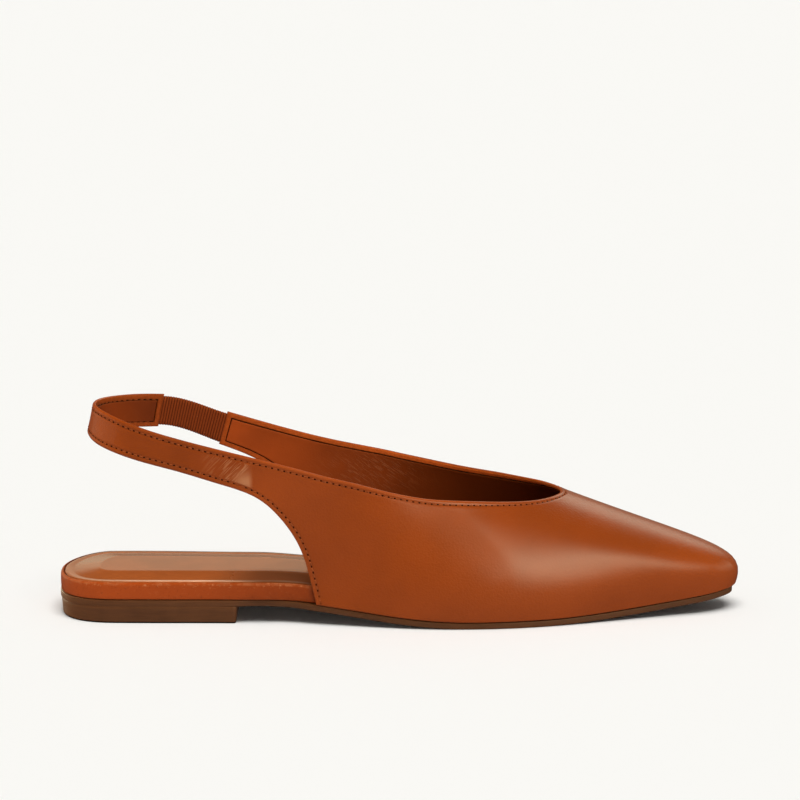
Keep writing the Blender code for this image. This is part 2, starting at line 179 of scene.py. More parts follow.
# ---------------------------------------------------------------- curves
def spline(knots, values, at):
    """Natural cubic spline through a table's rows."""
    knots = np.asarray(knots, float)
    values = np.asarray(values, float)
    values = values.reshape(len(knots), -1)
    n, h = len(knots), np.diff(knots)
    system, right = np.eye(n), np.zeros(values.shape)
    for i in range(1, n - 1):
        system[i, i - 1:i + 2] = h[i - 1], 2 * (h[i - 1] + h[i]), h[i]
        right[i] = 6 * ((values[i + 1] - values[i]) / h[i] - (values[i] - values[i - 1]) / h[i - 1])
    bend = np.linalg.solve(system, right)
    at = np.atleast_1d(np.asarray(at, float))
    i = np.clip(np.searchsorted(knots, at, side='right') - 1, 0, n - 2)
    step = h[i][:, None]
    a, b = (knots[i + 1] - at)[:, None], (at - knots[i])[:, None]
    return ((bend[i] * a ** 3 + bend[i + 1] * b ** 3) / (6 * step)
            + (values[i] / step - bend[i] * step / 6) * a
            + (values[i + 1] / step - bend[i + 1] * step / 6) * b)


def ease(t):
    t = np.clip(t, 0.0, 1.0)
    return t * t * (3 - 2 * t)


def unit(a):
    return a / np.maximum(np.linalg.norm(a, axis=-1, keepdims=True), 1e-12)


def underside(x):
    x = np.asarray(x, float)
    arch = SEAT_UNDER * (1 - ease((x - ARCH_START) / (ARCH_END - ARCH_START)))
    toe = np.clip((x - TREAD_END) / (LENGTH - TREAD_END), 0.0, None) ** TOE_SPRING_POWER
    return arch + TOE_SPRING * toe


def feather(x):
    return underside(x) + OUTSOLE_T + GAP


def half_width(x, side, start=0.0, stop=LENGTH, inset=0.0):
    x = np.atleast_1d(np.asarray(x, float))
    plan = np.array(PLAN)
    full = spline(plan[:, 0], plan[:, 1 if side < 0 else 2], x)[:, 0] - inset
    end_r, power = HEEL_END[0 if side < 0 else 1]
    heel = np.clip(1 - (x - start) / end_r, 0.0, 1.0) ** power
    toe = np.clip(1 - (stop - x) / TOE_END_R, 0.0, 1.0) ** TOE_END_POWER
    return (full * np.clip(1 - heel, 0.0, 1.0) ** (1 / power)
            * np.clip(1 - toe, 0.0, 1.0) ** (1 / TOE_END_POWER))


def facing(heading):
    a = np.radians(heading)
    return np.array([np.cos(a), np.sin(a), 0.0])


def band_rib(low, top, belly, heading):
    low, top = np.array(low), np.array(top)
    bow = belly * facing(heading)
    return low, low + (top - low) / 3 + bow, top - (top - low) / 3 + bow, top


def lasted_rib(x, side, top, lean, low_reach, dip, top_reach, heading, rake):
    if side == 0:
        low = np.array([x, 0.9, float(feather(x))])
        out = np.array([1.0, 0.0, 0.0])
    else:
        low = np.array([x, side * half_width(x, side)[0], float(feather(x))])
        slope = half_width(x + 0.5, side)[0] - half_width(x - 0.5, side)[0]
        out = unit(np.array([-slope, side * 1.0, 0.0]))
    lean, dip, rake, top = np.radians(lean), np.radians(dip), np.radians(rake), np.array(top)
    rise = np.array([np.sin(rake), 0.0, np.cos(rake)])
    return (low, low + low_reach * (np.sin(lean) * out + np.cos(lean) * rise),
            top + top_reach * (np.cos(dip) * facing(heading) - np.sin(dip) * rise), top)


RIM = [(row[3][0], row[3][2]) for row in LASTED if row[2] < 0]


def soft_shape(p):
    """Soft lean of the lateral wall under the topline, and its fullness beside the toes."""
    x, y, z = p[..., 0], p[..., 1], p[..., 2]
    lateral = ease((-y - 6.0) / 6.0)
    below = np.clip((np.interp(x, [q[0] for q in RIM], [q[1] for q in RIM]) - z) / 10.0, 0.0, 1.0)
    lean = 0.45 * (1 - below) ** 2 * ease((x - 122.0) / 30.0) * (1 - ease((x - 176.0) / 16.0))
    full = 0.50 * ease((24.5 - z) / 11.0) * ease((z - 3.5) / 9.0) * ease((x - 180.0) / 35.0) * (1 - ease((x - 240.0) / 22.0))
    return (full - lean) * lateral


class Upper:
    """The upper's outer face: ribs as cubic curves, with columns at chosen places between them."""

    def __init__(self, places):
        table, corners = [], []
        for name, low, top, belly, heading in SLING:
            table.append(band_rib(low, top, belly, heading))
        for row in LASTED:
            if row[0] in ('lat_corner', 'med_corner'):
                corners.append(len(table))
            table.append(lasted_rib(*row[1:]))
        for name, low, top, belly, heading in STUB:
            table.append(band_rib(low, top, belly, heading))
        rib = np.array(table)
        mid = rib.mean(axis=1)
        self.knots = np.concatenate([[0.0], np.cumsum(np.linalg.norm(np.diff(mid, axis=0), axis=1))])
        span, along, first = np.diff(self.knots), [], []
        for j, step in enumerate(span):
            first.append(sum(len(a) for a in along))
            along.append(self.knots[j] + step * np.asarray(places(j, step, len(span))))
        along.append(self.knots[-1:])
        if max(places(len(span) - 1, span[-1], len(span))) > 0.9:
            along.pop()
        self.first = first
        self.along = np.concatenate(along)
        self.low_col = [first[c] for c in corners]
        low, cuts = np.zeros((len(self.along), 3)), [0] + corners + [len(self.knots) - 1]
        for a, b in zip(cuts[:-1], cuts[1:]):
            pick = (self.along >= self.knots[a] - 1e-9) & (self.along <= self.knots[b] + 1e-9)
            low[pick] = spline(self.knots[a:b + 1], rib[a:b + 1, 0], self.along[pick])
        top = spline(self.knots, rib[:, 3], self.along)
        foot = low + spline(self.knots, rib[:, 1] - rib[:, 0], self.along)
        head = top + spline(self.knots, rib[:, 2] - rib[:, 3], self.along)
        self.c = [low, foot, head, top]
        self.count = len(self.along)
        fine = np.linspace(0.0, 1.0, 121)
        line = self.at(np.tile(fine, (self.count, 1)))
        self.run = np.concatenate([np.zeros((self.count, 1)),
                                   np.cumsum(np.linalg.norm(np.diff(line, axis=1), axis=2), axis=1)], 1)
        self.fine, self.length = fine, self.run[:, -1]
        self.free = np.ones(self.count, bool)
        self.free[self.low_col[0] + 1:self.low_col[1]] = False
        rise_low, rise_top = unit(foot - low), unit(top - head)
        go_top = unit(np.gradient(top, axis=0))
        go_low = np.zeros_like(low)
        a, b = self.low_col
        for part in (slice(0, a + 1), slice(a, b + 1), slice(b, None)):
            go_low[part] += unit(np.gradient(low[part], axis=0))
        self.sin_low = np.linalg.norm(np.cross(rise_low, unit(go_low)), axis=1).clip(0.35, 1.0)
        self.sin_top = np.linalg.norm(np.cross(rise_top, go_top), axis=1).clip(0.35, 1.0)

    def at(self, v):
        p = self.plain(v)
        return p + self.normal(v) * soft_shape(p)[..., None]

    def plain(self, v, c=None):
        c = self.c if c is None else c
        v = v[..., None]
        return ((1 - v) ** 3 * c[0][:, None] + 3 * (1 - v) ** 2 * v * c[1][:, None]
                + 3 * (1 - v) * v ** 2 * c[2][:, None] + v ** 3 * c[3][:, None])

    def normal(self, v):
        ahead = [np.concatenate([a[1:], a[-1:]]) for a in self.c]
        behind = [np.concatenate([a[:1], a[:-1]]) for a in self.c]
        go = self.plain(v, ahead) - self.plain(v, behind)
        w = v[..., None]
        c = self.c
        rise = ((1 - w) ** 2 * (c[1] - c[0])[:, None] + 2 * (1 - w) * w * (c[2] - c[1])[:, None]
                + w ** 2 * (c[3] - c[2])[:, None])
        return unit(np.cross(go, rise))

    def place(self, run):
        """Curve parameter at a run along each rib, for an array of columns by rows."""
        v = np.empty_like(run)
        for i in range(self.count):
            v[i] = np.interp(run[i], self.run[i], self.fine)
        return v


def coarse_centre():
    """The middle of the plan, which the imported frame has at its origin."""
    plain = Upper(lambda j, step, n: np.arange(3) / 3)
    v = np.tile(np.linspace(0.0, 1.0, 13), (plain.count, 1))
    grid = plain.at(v)
    x = np.linspace(1.0, LENGTH - 1.0, 400)
    y = np.concatenate([s * half_width(x, s) for s in (-1, 1)])
    return np.array([(0.04 + grid[:, :, 0].max()) / 2,
                     (min(grid[:, :, 1].min(), y.min()) + max(grid[:, :, 1].max(), y.max())) / 2, 0.0])


CENTRE = coarse_centre()


# ---------------------------------------------------------------- mesh helpers
def make_mesh(name, points, faces, materials, index=None, sharp=None, marks=None):
    mesh = bpy.data.meshes.new(name)
    points = (np.asarray(points, float).reshape(-1, 3) - CENTRE) * MM
    mesh.from_pydata(points.tolist(), [], [tuple(int(i) for i in f) for f in faces])
    mesh.update()
    for m in materials:
        mesh.materials.append(m)
    if index is not None:
        mesh.polygons.foreach_set('material_index', np.asarray(index, np.int32))
    for key, values in (marks or {}).items():
        mark = mesh.attributes.new(key, 'FLOAT', 'POINT')
        mark.data.foreach_set('value', np.asarray(values, np.float32).ravel())
    mesh.shade_smooth()
    if sharp:
        mesh.set_sharp_from_angle(angle=math.radians(sharp))
    obj = bpy.data.objects.new(name, mesh)
    bpy.context.scene.collection.objects.link(obj)
    return obj


def ring_faces(rings, size, closed=True):
    """Quads between successive closed rings of one size."""
    i, j = np.meshgrid(np.arange(rings - 1), np.arange(size if closed else size - 1), indexing='ij')
    k = (j + 1) % size
    return np.stack([i * size + j, i * size + k, (i + 1) * size + k, (i + 1) * size + j], -1).reshape(-1, 4)


def zip_faces(start, size, flip=False):
    """Quads across one closed ring whose two halves lie side by side."""
    half = size // 2
    out = []
    for k in range(half - 1):
        q = (start + k, start + k + 1, start + size - 2 - k, start + size - 1 - k)
        out.append(q[::-1] if flip else q)
    return out


# ---------------------------------------------------------------- material helpers
def shader(name, **values):
    m = bpy.data.materials.new(name)
    m.use_nodes = True
    tree = m.node_tree
    bsdf = tree.nodes['Principled BSDF']
    for key, value in values.items():
        socket = bsdf.inputs[key.replace('_', ' ')]
        socket.default_value = (*value, 1.0) if isinstance(value, tuple) else value
    return m, tree, bsdf


class Nodes:
    """Short hand for wiring a node tree."""

    def __init__(self, tree):
        self.tree = tree
        self.mm = None

    def new(self, kind, **inputs):
        settings = {k: inputs.pop(k) for k in list(inputs) if k.startswith('set_')}
        n = self.tree.nodes.new(kind)
        for key, value in settings.items():
            setattr(n, key[4:], value)
        for key, value in inputs.items():
            socket = n.inputs[int(key[1:])] if key[0] == 'i' and key[1:].isdigit() else n.inputs[key.replace('_', ' ')]
            if hasattr(value, 'is_output'):
                self.tree.links.new(value, socket)
            else:
                socket.default_value = value
        return n

    def coords(self):
        if self.mm is None:
            tex = self.new('ShaderNodeTexCoord')
            self.mm = self.new('ShaderNodeMapping', Vector=tex.outputs['Object'],
                               Scale=(1000.0, 1000.0, 1000.0)).outputs[0]
        return self.mm

    def mapped(self, scale, rotation=(0.0, 0.0, 0.0)):
        turned = self.new('ShaderNodeMapping', Vector=self.coords(), Rotation=rotation).outputs[0]
        return self.new('ShaderNodeMapping', Vector=turned, Scale=scale).outputs[0]

    def noise(self, scale, detail=2.0, rough=0.5, vector=None, distortion=0.0):
        return self.new('ShaderNodeTexNoise', Vector=vector or self.coords(), Scale=scale, Detail=detail,
                        Roughness=rough, Distortion=distortion).outputs['Fac']

    def cells(self, scale, feature='F1', vector=None, randomness=1.0):
        n = self.new('ShaderNodeTexVoronoi', set_feature=feature, Vector=vector or self.coords(), Scale=scale,
                     Randomness=randomness)
        return n.outputs['Distance']

    def span(self, value, a, b, c=0.0, d=1.0, smooth=True):
        n = self.new('ShaderNodeMapRange', set_interpolation_type='SMOOTHSTEP' if smooth else 'LINEAR', Value=value)
        for key, v in zip(('From Min', 'From Max', 'To Min', 'To Max'), (a, b, c, d)):
            n.inputs[key].default_value = v
        return n.outputs['Result']

    def math(self, op, a, b=0.0, c=0.0):
        return self.new('ShaderNodeMath', set_operation=op, i0=a, i1=b, i2=c).outputs[0]

    def mix(self, fac, a, b, blend='MIX'):
        n = self.new('ShaderNodeMix', set_data_type='RGBA', set_blend_type=blend)
        for socket, value in zip((n.inputs['Factor'], n.inputs[6], n.inputs[7]), (fac, a, b)):
            if hasattr(value, 'is_output'):
                self.tree.links.new(value, socket)
            else:
                socket.default_value = (*value, 1.0) if isinstance(value, tuple) else value
        return n.outputs[2]

    def mark(self, name):
        return self.new('ShaderNodeAttribute', set_attribute_name=name, set_attribute_type='GEOMETRY').outputs['Fac']

    def bump(self, height, distance, strength=1.0, normal=None):
        n = self.new('ShaderNodeBump', Height=height, Distance=distance * MM, Strength=strength)
        if normal is not None:
            self.tree.links.new(normal, n.inputs['Normal'])
        return n.outputs[0]

    def to(self, socket, value):
        self.tree.links.new(value, socket)


def times(colour, k):
    return tuple(c * k for c in colour)


# ---------------------------------------------------------------- colours (linear)
TAN = (0.190, 0.0310, 0.0021)
TAN_FOLD = (0.276, 0.0480, 0.0063)
# Light tan: real scuffs and flecks on the wrapped band and gore, lighter lines on the lining's wrinkles, and a painted
# highlight on the creased strap root.
TAN_WEAR_AND_SHEEN = (0.336, 0.1290, 0.0510)
LINING = (0.261, 0.0415, 0.0048)
THREAD = (0.205, 0.0420, 0.0085)
HOLE_SHADE = (0.012, 0.0028, 0.0010)
SOCK = (0.240, 0.0560, 0.0098)
# Pale colour painted as the highlight on the sock's rolled edge and on the pad's crest.
EDGE_HIGHLIGHT_COLOUR = (0.600, 0.2900, 0.1650)
RAND = (0.216, 0.0330, 0.0036)
SOLE = (0.067, 0.0226, 0.0068)
GORE = (0.106, 0.0186, 0.0034)
GROUND = (0.939, 0.930, 0.896)

# Studio: broad lamps over an even fill give the body colours, and cards give the reflections.
AMBIENT = 0.05            # the fill's share of the light on the floor


def leather_material():
    m, tree, bsdf = shader('tan_leather', Roughness=0.42, Metallic=0.0, Specular_IOR_Level=0.18, Coat_Weight=0.32,
                           Coat_Roughness=0.14, Coat_IOR=1.5)
    n = Nodes(tree)
    broad = n.span(n.noise(0.045, 3.0, 0.55), 0.30, 0.70)
    fine = n.span(n.noise(1.6, 3.0, 0.6), 0.25, 0.75)
    pore = n.cells(1.25, 'F1')
    colour = n.mix(broad, times(TAN, 0.94), times(TAN, 1.06))
    colour = n.mix(n.math('MULTIPLY', fine, 0.10), colour, times(TAN, 1.35))
    # Multiplies in painted light and shade that varies from place to place along the shoe.
    colour = n.mix(1.0, colour, n.mark('painted_shading'), 'MULTIPLY')
    edge = n.mark('edge_d')
    roll = n.span(edge, 0.2, 1.5, 1.0, 0.0)
    colour = n.mix(n.math('MULTIPLY', n.math('MULTIPLY', roll, n.mark('lip')), 0.45), colour, TAN_FOLD)
    seam = n.math('MULTIPLY', n.span(edge, 1.55, 1.95), n.span(edge, 2.05, 2.5, 1.0, 0.0))
    colour = n.mix(n.math('MULTIPLY', seam, 0.35), colour, times(TAN, 0.55))
    # Lighter streaks along the strap-root creases, partly creased leather and partly painted highlight, and a painted
    # highlight on the patch beside them.
    streak_v = n.mapped((3.0, 0.2, 0.16), (0.0, math.radians(-44.0), 0.0))
    streak = n.span(n.noise(1.0, 1.0, 0.5, streak_v), 0.50, 0.60)
    crease = n.mark('crease')
    wear_and_sheen = n.mark('wear_and_sheen')
    lines = n.math('MULTIPLY', crease, n.math('MULTIPLY', streak, 0.72))
    colour = n.mix(n.math('MAXIMUM', lines, n.math('MULTIPLY', wear_and_sheen, 0.90)), colour, TAN_WEAR_AND_SHEEN)
    n.to(bsdf.inputs['Base Color'], colour)
    rough = n.math('MULTIPLY_ADD', n.noise(0.35, 3.0, 0.6), 0.10, 0.38)
    n.to(bsdf.inputs['Roughness'], rough)
    grain = n.math('MULTIPLY_ADD', pore, 0.7, n.math('MULTIPLY', n.noise(3.2, 2.0, 0.5), 0.6))
    normal = n.bump(grain, 0.145, 0.80)
    normal = n.bump(n.math('MULTIPLY', streak, crease), 0.10, 0.8, normal)
    n.to(bsdf.inputs['Normal'], normal)
    return m


def fold_material():
    m, tree, bsdf = shader('folded_edge', Roughness=0.55, Specular_IOR_Level=0.08)
    n = Nodes(tree)
    colour = n.mix(n.span(n.noise(0.9, 3.0, 0.6), 0.3, 0.7), times(TAN_FOLD, 0.86), times(TAN_FOLD, 1.14))
    # Painted shade and light on the folded edge: darker at the strap's back, lighter towards the throat.
    colour = n.mix(1.0, colour, n.mark('fold_painted_shading'), 'MULTIPLY')
    n.to(bsdf.inputs['Base Color'], colour)
    n.to(bsdf.inputs['Normal'], n.bump(n.noise(2.5, 3.0, 0.6), 0.06, 0.7))
    return m


def groove_shade_material():
    m, tree, bsdf = shader('edge_groove_shade', Roughness=0.80, Specular_IOR_Level=0.1)
    n = Nodes(tree)
    # Near-black: painted shade in the gap at the lining's cut edge.
    colour = n.mix(n.span(n.noise(0.7, 2.0, 0.5), 0.3, 0.7), times(TAN, 0.10), times(TAN, 0.28))
    n.to(bsdf.inputs['Base Color'], colour)
    return m


def lining_material():
    m, tree, bsdf = shader('lining_leather', Roughness=0.46, Specular_IOR_Level=0.12)
    n = Nodes(tree)
    broad = n.span(n.noise(0.06, 3.0, 0.6), 0.3, 0.7)
    colour = n.mix(broad, times(LINING, 0.90), times(LINING, 1.10))
    # Painted shade: the lining darkens towards the throat and on the strap's inner face.
    colour = n.mix(n.mark('lining_painted_shade'), colour, times(LINING, 0.23))
    wrinkle = n.mark('crease')
    v1 = n.mapped((0.20, 0.3, 1.90), (0.0, math.radians(-36.0), 0.0))
    v2 = n.mapped((0.35, 0.3, 1.50), (0.0, math.radians(30.0), 0.0))
    lines = n.math('MAXIMUM', n.span(n.noise(1.2, 1.0, 0.5, v1, 0.3), 0.54, 0.64),
                   n.math('MULTIPLY', n.span(n.noise(1.2, 1.0, 0.5, v2, 0.3), 0.57, 0.68), 0.20))
    wear_and_sheen = n.math('MULTIPLY', lines, wrinkle)
    colour = n.mix(n.math('MULTIPLY', wear_and_sheen, 0.13), colour, TAN_WEAR_AND_SHEEN)
    n.to(bsdf.inputs['Base Color'], colour)
    grain = n.math('MULTIPLY_ADD', n.cells(1.5, 'F1'), 0.6, n.math('MULTIPLY', n.noise(2.2, 3.0, 0.6), 0.7))
    normal = n.bump(grain, 0.07, 0.6)
    normal = n.bump(wear_and_sheen, 0.10, 0.6, normal)
    n.to(bsdf.inputs['Normal'], normal)
    rough = n.math('MULTIPLY_ADD', n.noise(0.4, 3.0, 0.6), 0.14, 0.40)
    n.to(bsdf.inputs['Roughness'], rough)
    return m


def thread_material():
    m, tree, bsdf = shader('thread', Roughness=0.62, Specular_IOR_Level=0.14)
    n = Nodes(tree)
    colour = n.mix(n.span(n.noise(1.3, 2.0, 0.5), 0.35, 0.65), times(THREAD, 0.72), times(THREAD, 1.2))
    n.to(bsdf.inputs['Base Color'], colour)
    n.to(bsdf.inputs['Normal'], n.bump(n.noise(9.0, 1.0, 0.5), 0.05, 0.6))
    return m


def hole_shade_material():
    m, tree, bsdf = shader('needle_hole_shade', Roughness=0.9, Specular_IOR_Level=0.05)
    n = Nodes(tree)
    n.to(bsdf.inputs['Base Color'], n.mix(n.noise(0.5), times(HOLE_SHADE, 0.7), times(HOLE_SHADE, 1.4)))
    return m


def sock_material():
    m, tree, bsdf = shader('footbed_leather', Roughness=0.30, Specular_IOR_Level=0.09)
    n = Nodes(tree)
    broad = n.span(n.noise(0.05, 3.0, 0.55), 0.3, 0.7)
    colour = n.mix(broad, times(SOCK, 0.92), times(SOCK, 1.08))
    # Painted highlight on the sock's rolled edge and on the pad's crest.
    painted_edge_highlight = n.math('MULTIPLY', n.mark('painted_edge_highlight'), n.span(n.noise(0.12, 3.0, 0.6), 0.30, 0.60, 0.55, 1.0))
    colour = n.mix(painted_edge_highlight, colour, EDGE_HIGHLIGHT_COLOUR)
    # Painted shade on the footbed's near band under the lateral quarter.
    colour = n.mix(n.mark('shady'), colour, times(SOCK, 0.42))
    n.to(bsdf.inputs['Base Color'], colour)
    rough = n.math('MULTIPLY_ADD', n.noise(0.3, 3.0, 0.6), 0.06, 0.14)
    n.to(bsdf.inputs['Roughness'], n.math('MULTIPLY_ADD', n.mark('shady'), 0.25, rough))
    grain = n.math('MULTIPLY_ADD', n.cells(1.8, 'F1'), 0.6, n.math('MULTIPLY', n.noise(2.6, 2.0, 0.5), 0.5))
    n.to(bsdf.inputs['Normal'], n.bump(grain, 0.03, 0.4))
    return m


def rand_material():
    m, tree, bsdf = shader('wrapped_edge', Roughness=0.45, Specular_IOR_Level=0.14)
    n = Nodes(tree)
    broad = n.span(n.noise(0.10, 3.0, 0.6), 0.3, 0.7)
    # Painted shade: the wrapped band darkens forwards, where the upper overhangs it.
    painted_shading = n.mix(n.mark('painted_shading'), times(RAND, 0.70), times(RAND, 1.26))
    colour = n.mix(n.math('MULTIPLY', broad, 0.5), painted_shading, times(RAND, 1.05))
    fleck = n.span(n.noise(1.1, 3.0, 0.65), 0.57, 0.69)
    high = n.span(n.mark('rim'), 0.7, 2.6, 1.0, 0.12)
    colour = n.mix(n.math('MULTIPLY', fleck, n.math('MULTIPLY', high, 0.60)), colour, times(TAN_WEAR_AND_SHEEN, 1.10))
    lip = n.math('MULTIPLY', n.span(n.mark('rim'), 0.85, 1.25, 1.0, 0.0), n.span(n.noise(0.35, 3.0, 0.6), 0.40, 0.62))
    colour = n.mix(n.math('MULTIPLY', lip, 0.28), colour, TAN_WEAR_AND_SHEEN)
    dark = n.span(n.noise(0.9, 3.0, 0.65), 0.58, 0.72)
    colour = n.mix(n.math('MULTIPLY', dark, 0.45), colour, times(RAND, 0.45))
    n.to(bsdf.inputs['Base Color'], colour)
    grain = n.math('MULTIPLY_ADD', n.cells(1.7, 'F1'), 0.6, n.math('MULTIPLY', n.noise(2.6, 3.0, 0.6), 0.7))
    n.to(bsdf.inputs['Normal'], n.bump(grain, 0.07, 0.6))
    return m


def seam_material():
    m, tree, bsdf = shader('footbed_seam', Roughness=0.8, Specular_IOR_Level=0.1)
    n = Nodes(tree)
    n.to(bsdf.inputs['Base Color'], n.mix(n.span(n.noise(0.25, 2.0), 0.3, 0.7), times(RAND, 0.15), times(RAND, 0.5)))
    return m


def sole_material(name, base, rough):
    m, tree, bsdf = shader(name, Roughness=rough, Specular_IOR_Level=0.25)
    n = Nodes(tree)
    broad = n.span(n.noise(0.06, 3.0, 0.6), 0.3, 0.7)
    streaks = n.span(n.noise(1.0, 3.0, 0.6, n.mapped((0.12, 0.12, 1.6))), 0.3, 0.7)
    colour = n.mix(broad, times(base, 0.86), times(base, 1.12))
    colour = n.mix(n.math('MULTIPLY', streaks, 0.35), colour, times(base, 1.45))
    n.to(bsdf.inputs['Base Color'], colour)
    n.to(bsdf.inputs['Normal'], n.bump(n.math('ADD', streaks, n.noise(1.5, 3.0, 0.6)), 0.05, 0.5))
    n.to(bsdf.inputs['Roughness'], n.math('MULTIPLY_ADD', n.noise(0.5, 3.0), 0.14, rough - 0.07))
    return m


def tread_material():
    m, tree, bsdf = shader('tread', Roughness=0.70, Specular_IOR_Level=0.3)
    n = Nodes(tree)
    broad = n.span(n.noise(0.05, 4.0, 0.6), 0.3, 0.7)
    colour = n.mix(broad, times(SOLE, 0.9), times(SOLE, 1.35))
    n.to(bsdf.inputs['Base Color'], colour)
    grain = n.math('ADD', n.cells(0.9, 'F1'), n.noise(2.0, 4.0, 0.7))
    n.to(bsdf.inputs['Normal'], n.bump(grain, 0.12, 0.6))
    return m


def heel_contact_shade_material():
    # Near-black bottom bevel: a painted contact shadow along the heel's foot.
    return shader('heel_contact_shade', Base_Color=times(SOLE, 0.12), Roughness=0.80, Specular_IOR_Level=0.05)[0]


def gore_material():
    m, tree, bsdf = shader('gore', Roughness=0.80, Specular_IOR_Level=0.08)
    n = Nodes(tree)
    crest = n.mark('crest')
    yarn = n.span(n.noise(2.6, 2.0, 0.6, n.mapped((1.0, 1.0, 2.4))), 0.3, 0.7)
    # Lighter rib crests and darker gaps between ribs: painted light and shade on the ribs.
    colour = n.mix(crest, times(GORE, 0.22), times(GORE, 2.0))
    colour = n.mix(n.math('MULTIPLY', yarn, 0.35), colour, times(GORE, 0.6))
    stray = n.span(n.noise(0.9, 2.0, 0.6), 0.70, 0.76)
    colour = n.mix(n.math('MULTIPLY', stray, 0.5), colour, TAN_WEAR_AND_SHEEN)
    n.to(bsdf.inputs['Base Color'], colour)
    n.to(bsdf.inputs['Normal'], n.bump(yarn, 0.08, 0.8))
    return m


MAT = {
    'leather': leather_material(), 'fold': fold_material(), 'groove': groove_shade_material(),
    'lining': lining_material(), 'thread': thread_material(), 'hole_shade': hole_shade_material(),
    'sock': sock_material(), 'rand': rand_material(), 'seam': seam_material(),
    'edge': sole_material('sole_edge', SOLE, 0.52), 'heel': sole_material('heel_stack', SOLE, 0.52),
    'tread': tread_material(), 'foot': heel_contact_shade_material(), 'gore': gore_material(),
}


# ---------------------------------------------------------------- upper
END_STEPS = (0.5, 0.62, 0.8, 1.05, 1.3, 1.6, 1.9, 2.06, 2.18, 2.3, 2.42, 2.5, 2.62, 2.85, 3.3, 4.0, 5.0, 6.2, 7.6)


def columns(j, step, n):
    """Where columns stand between two ribs, as parts of the interval."""
    if j == 0:
        return [e / step for e in END_STEPS if e < step - 0.4]
    if j == n - 1:
        lead = [e / step for e in END_STEPS if e < 6.0]
        rest = np.linspace(0.0, 1.0 - 6.0 / step, 13)[:-1]
        return list(rest) + [1.0 - f for f in lead[::-1]]
    count = 36 if j in (8, 9) else 10
    return np.arange(count) / count


BAND = 4.6                # width of the closely spaced rows along an edge
CLOSE = (0.65, 0.95, 1.25, 1.55, 1.85, 2.15, 2.5, 3.0, 3.7, 4.6)
MID_OUT, MID_IN = 33, 29


def inner_depth(d):
    """Depth of the inside face below the outside: fold, groove, lining."""
    return np.interp(d, (0.0, 2.0, 2.08, 2.3, 2.42, 2.45, 2.58, 2.85), (1.3, 1.3, 1.05, 1.0, 1.45, 1.66, 1.78, WALL))


def edge_relief(d):
    """Swell of the leather along a stitched edge, with the seam pulled in."""
    return (0.09 * np.exp(-((d - 1.05) / 0.5) ** 2) - 0.15 * np.exp(-((d - SEAM_IN) / 0.33) ** 2)
            + 0.05 * np.exp(-((d - 3.1) / 0.8) ** 2))


def crease_relief(p):
    """Soft troughs across the strap's root."""
    out = np.zeros(p.shape[:-1])
    lateral = ease((-p[..., 1] - 20.0) / 4.0)
    for x0, z0, x1, z1, depth, width in ROOT_CREASES:
        a, b = np.array([x0, z0]), np.array([x1, z1])
        q = p[..., [0, 2]] - a
        run = b - a
        size = np.linalg.norm(run)
        t = (q @ run) / size ** 2
        off = (q[..., 0] * run[1] - q[..., 1] * run[0]) / size
        body = ease(t / 0.25) * ease((1 - t) / 0.25)
        out -= depth * body * (np.exp(-(off / width) ** 2) - 0.55 * np.exp(-((off - 1.6 * width) / width) ** 2))
    x, z = p[..., 0], p[..., 2]
    lift = ease((x - 66.0) / 8.0) * (1 - ease((x - 75.2) / 1.3)) * ease((z - 52.5) / 3.0) * (1 - ease((z - 60.0) / 6.0))
    return (out + 0.20 * lift) * lateral


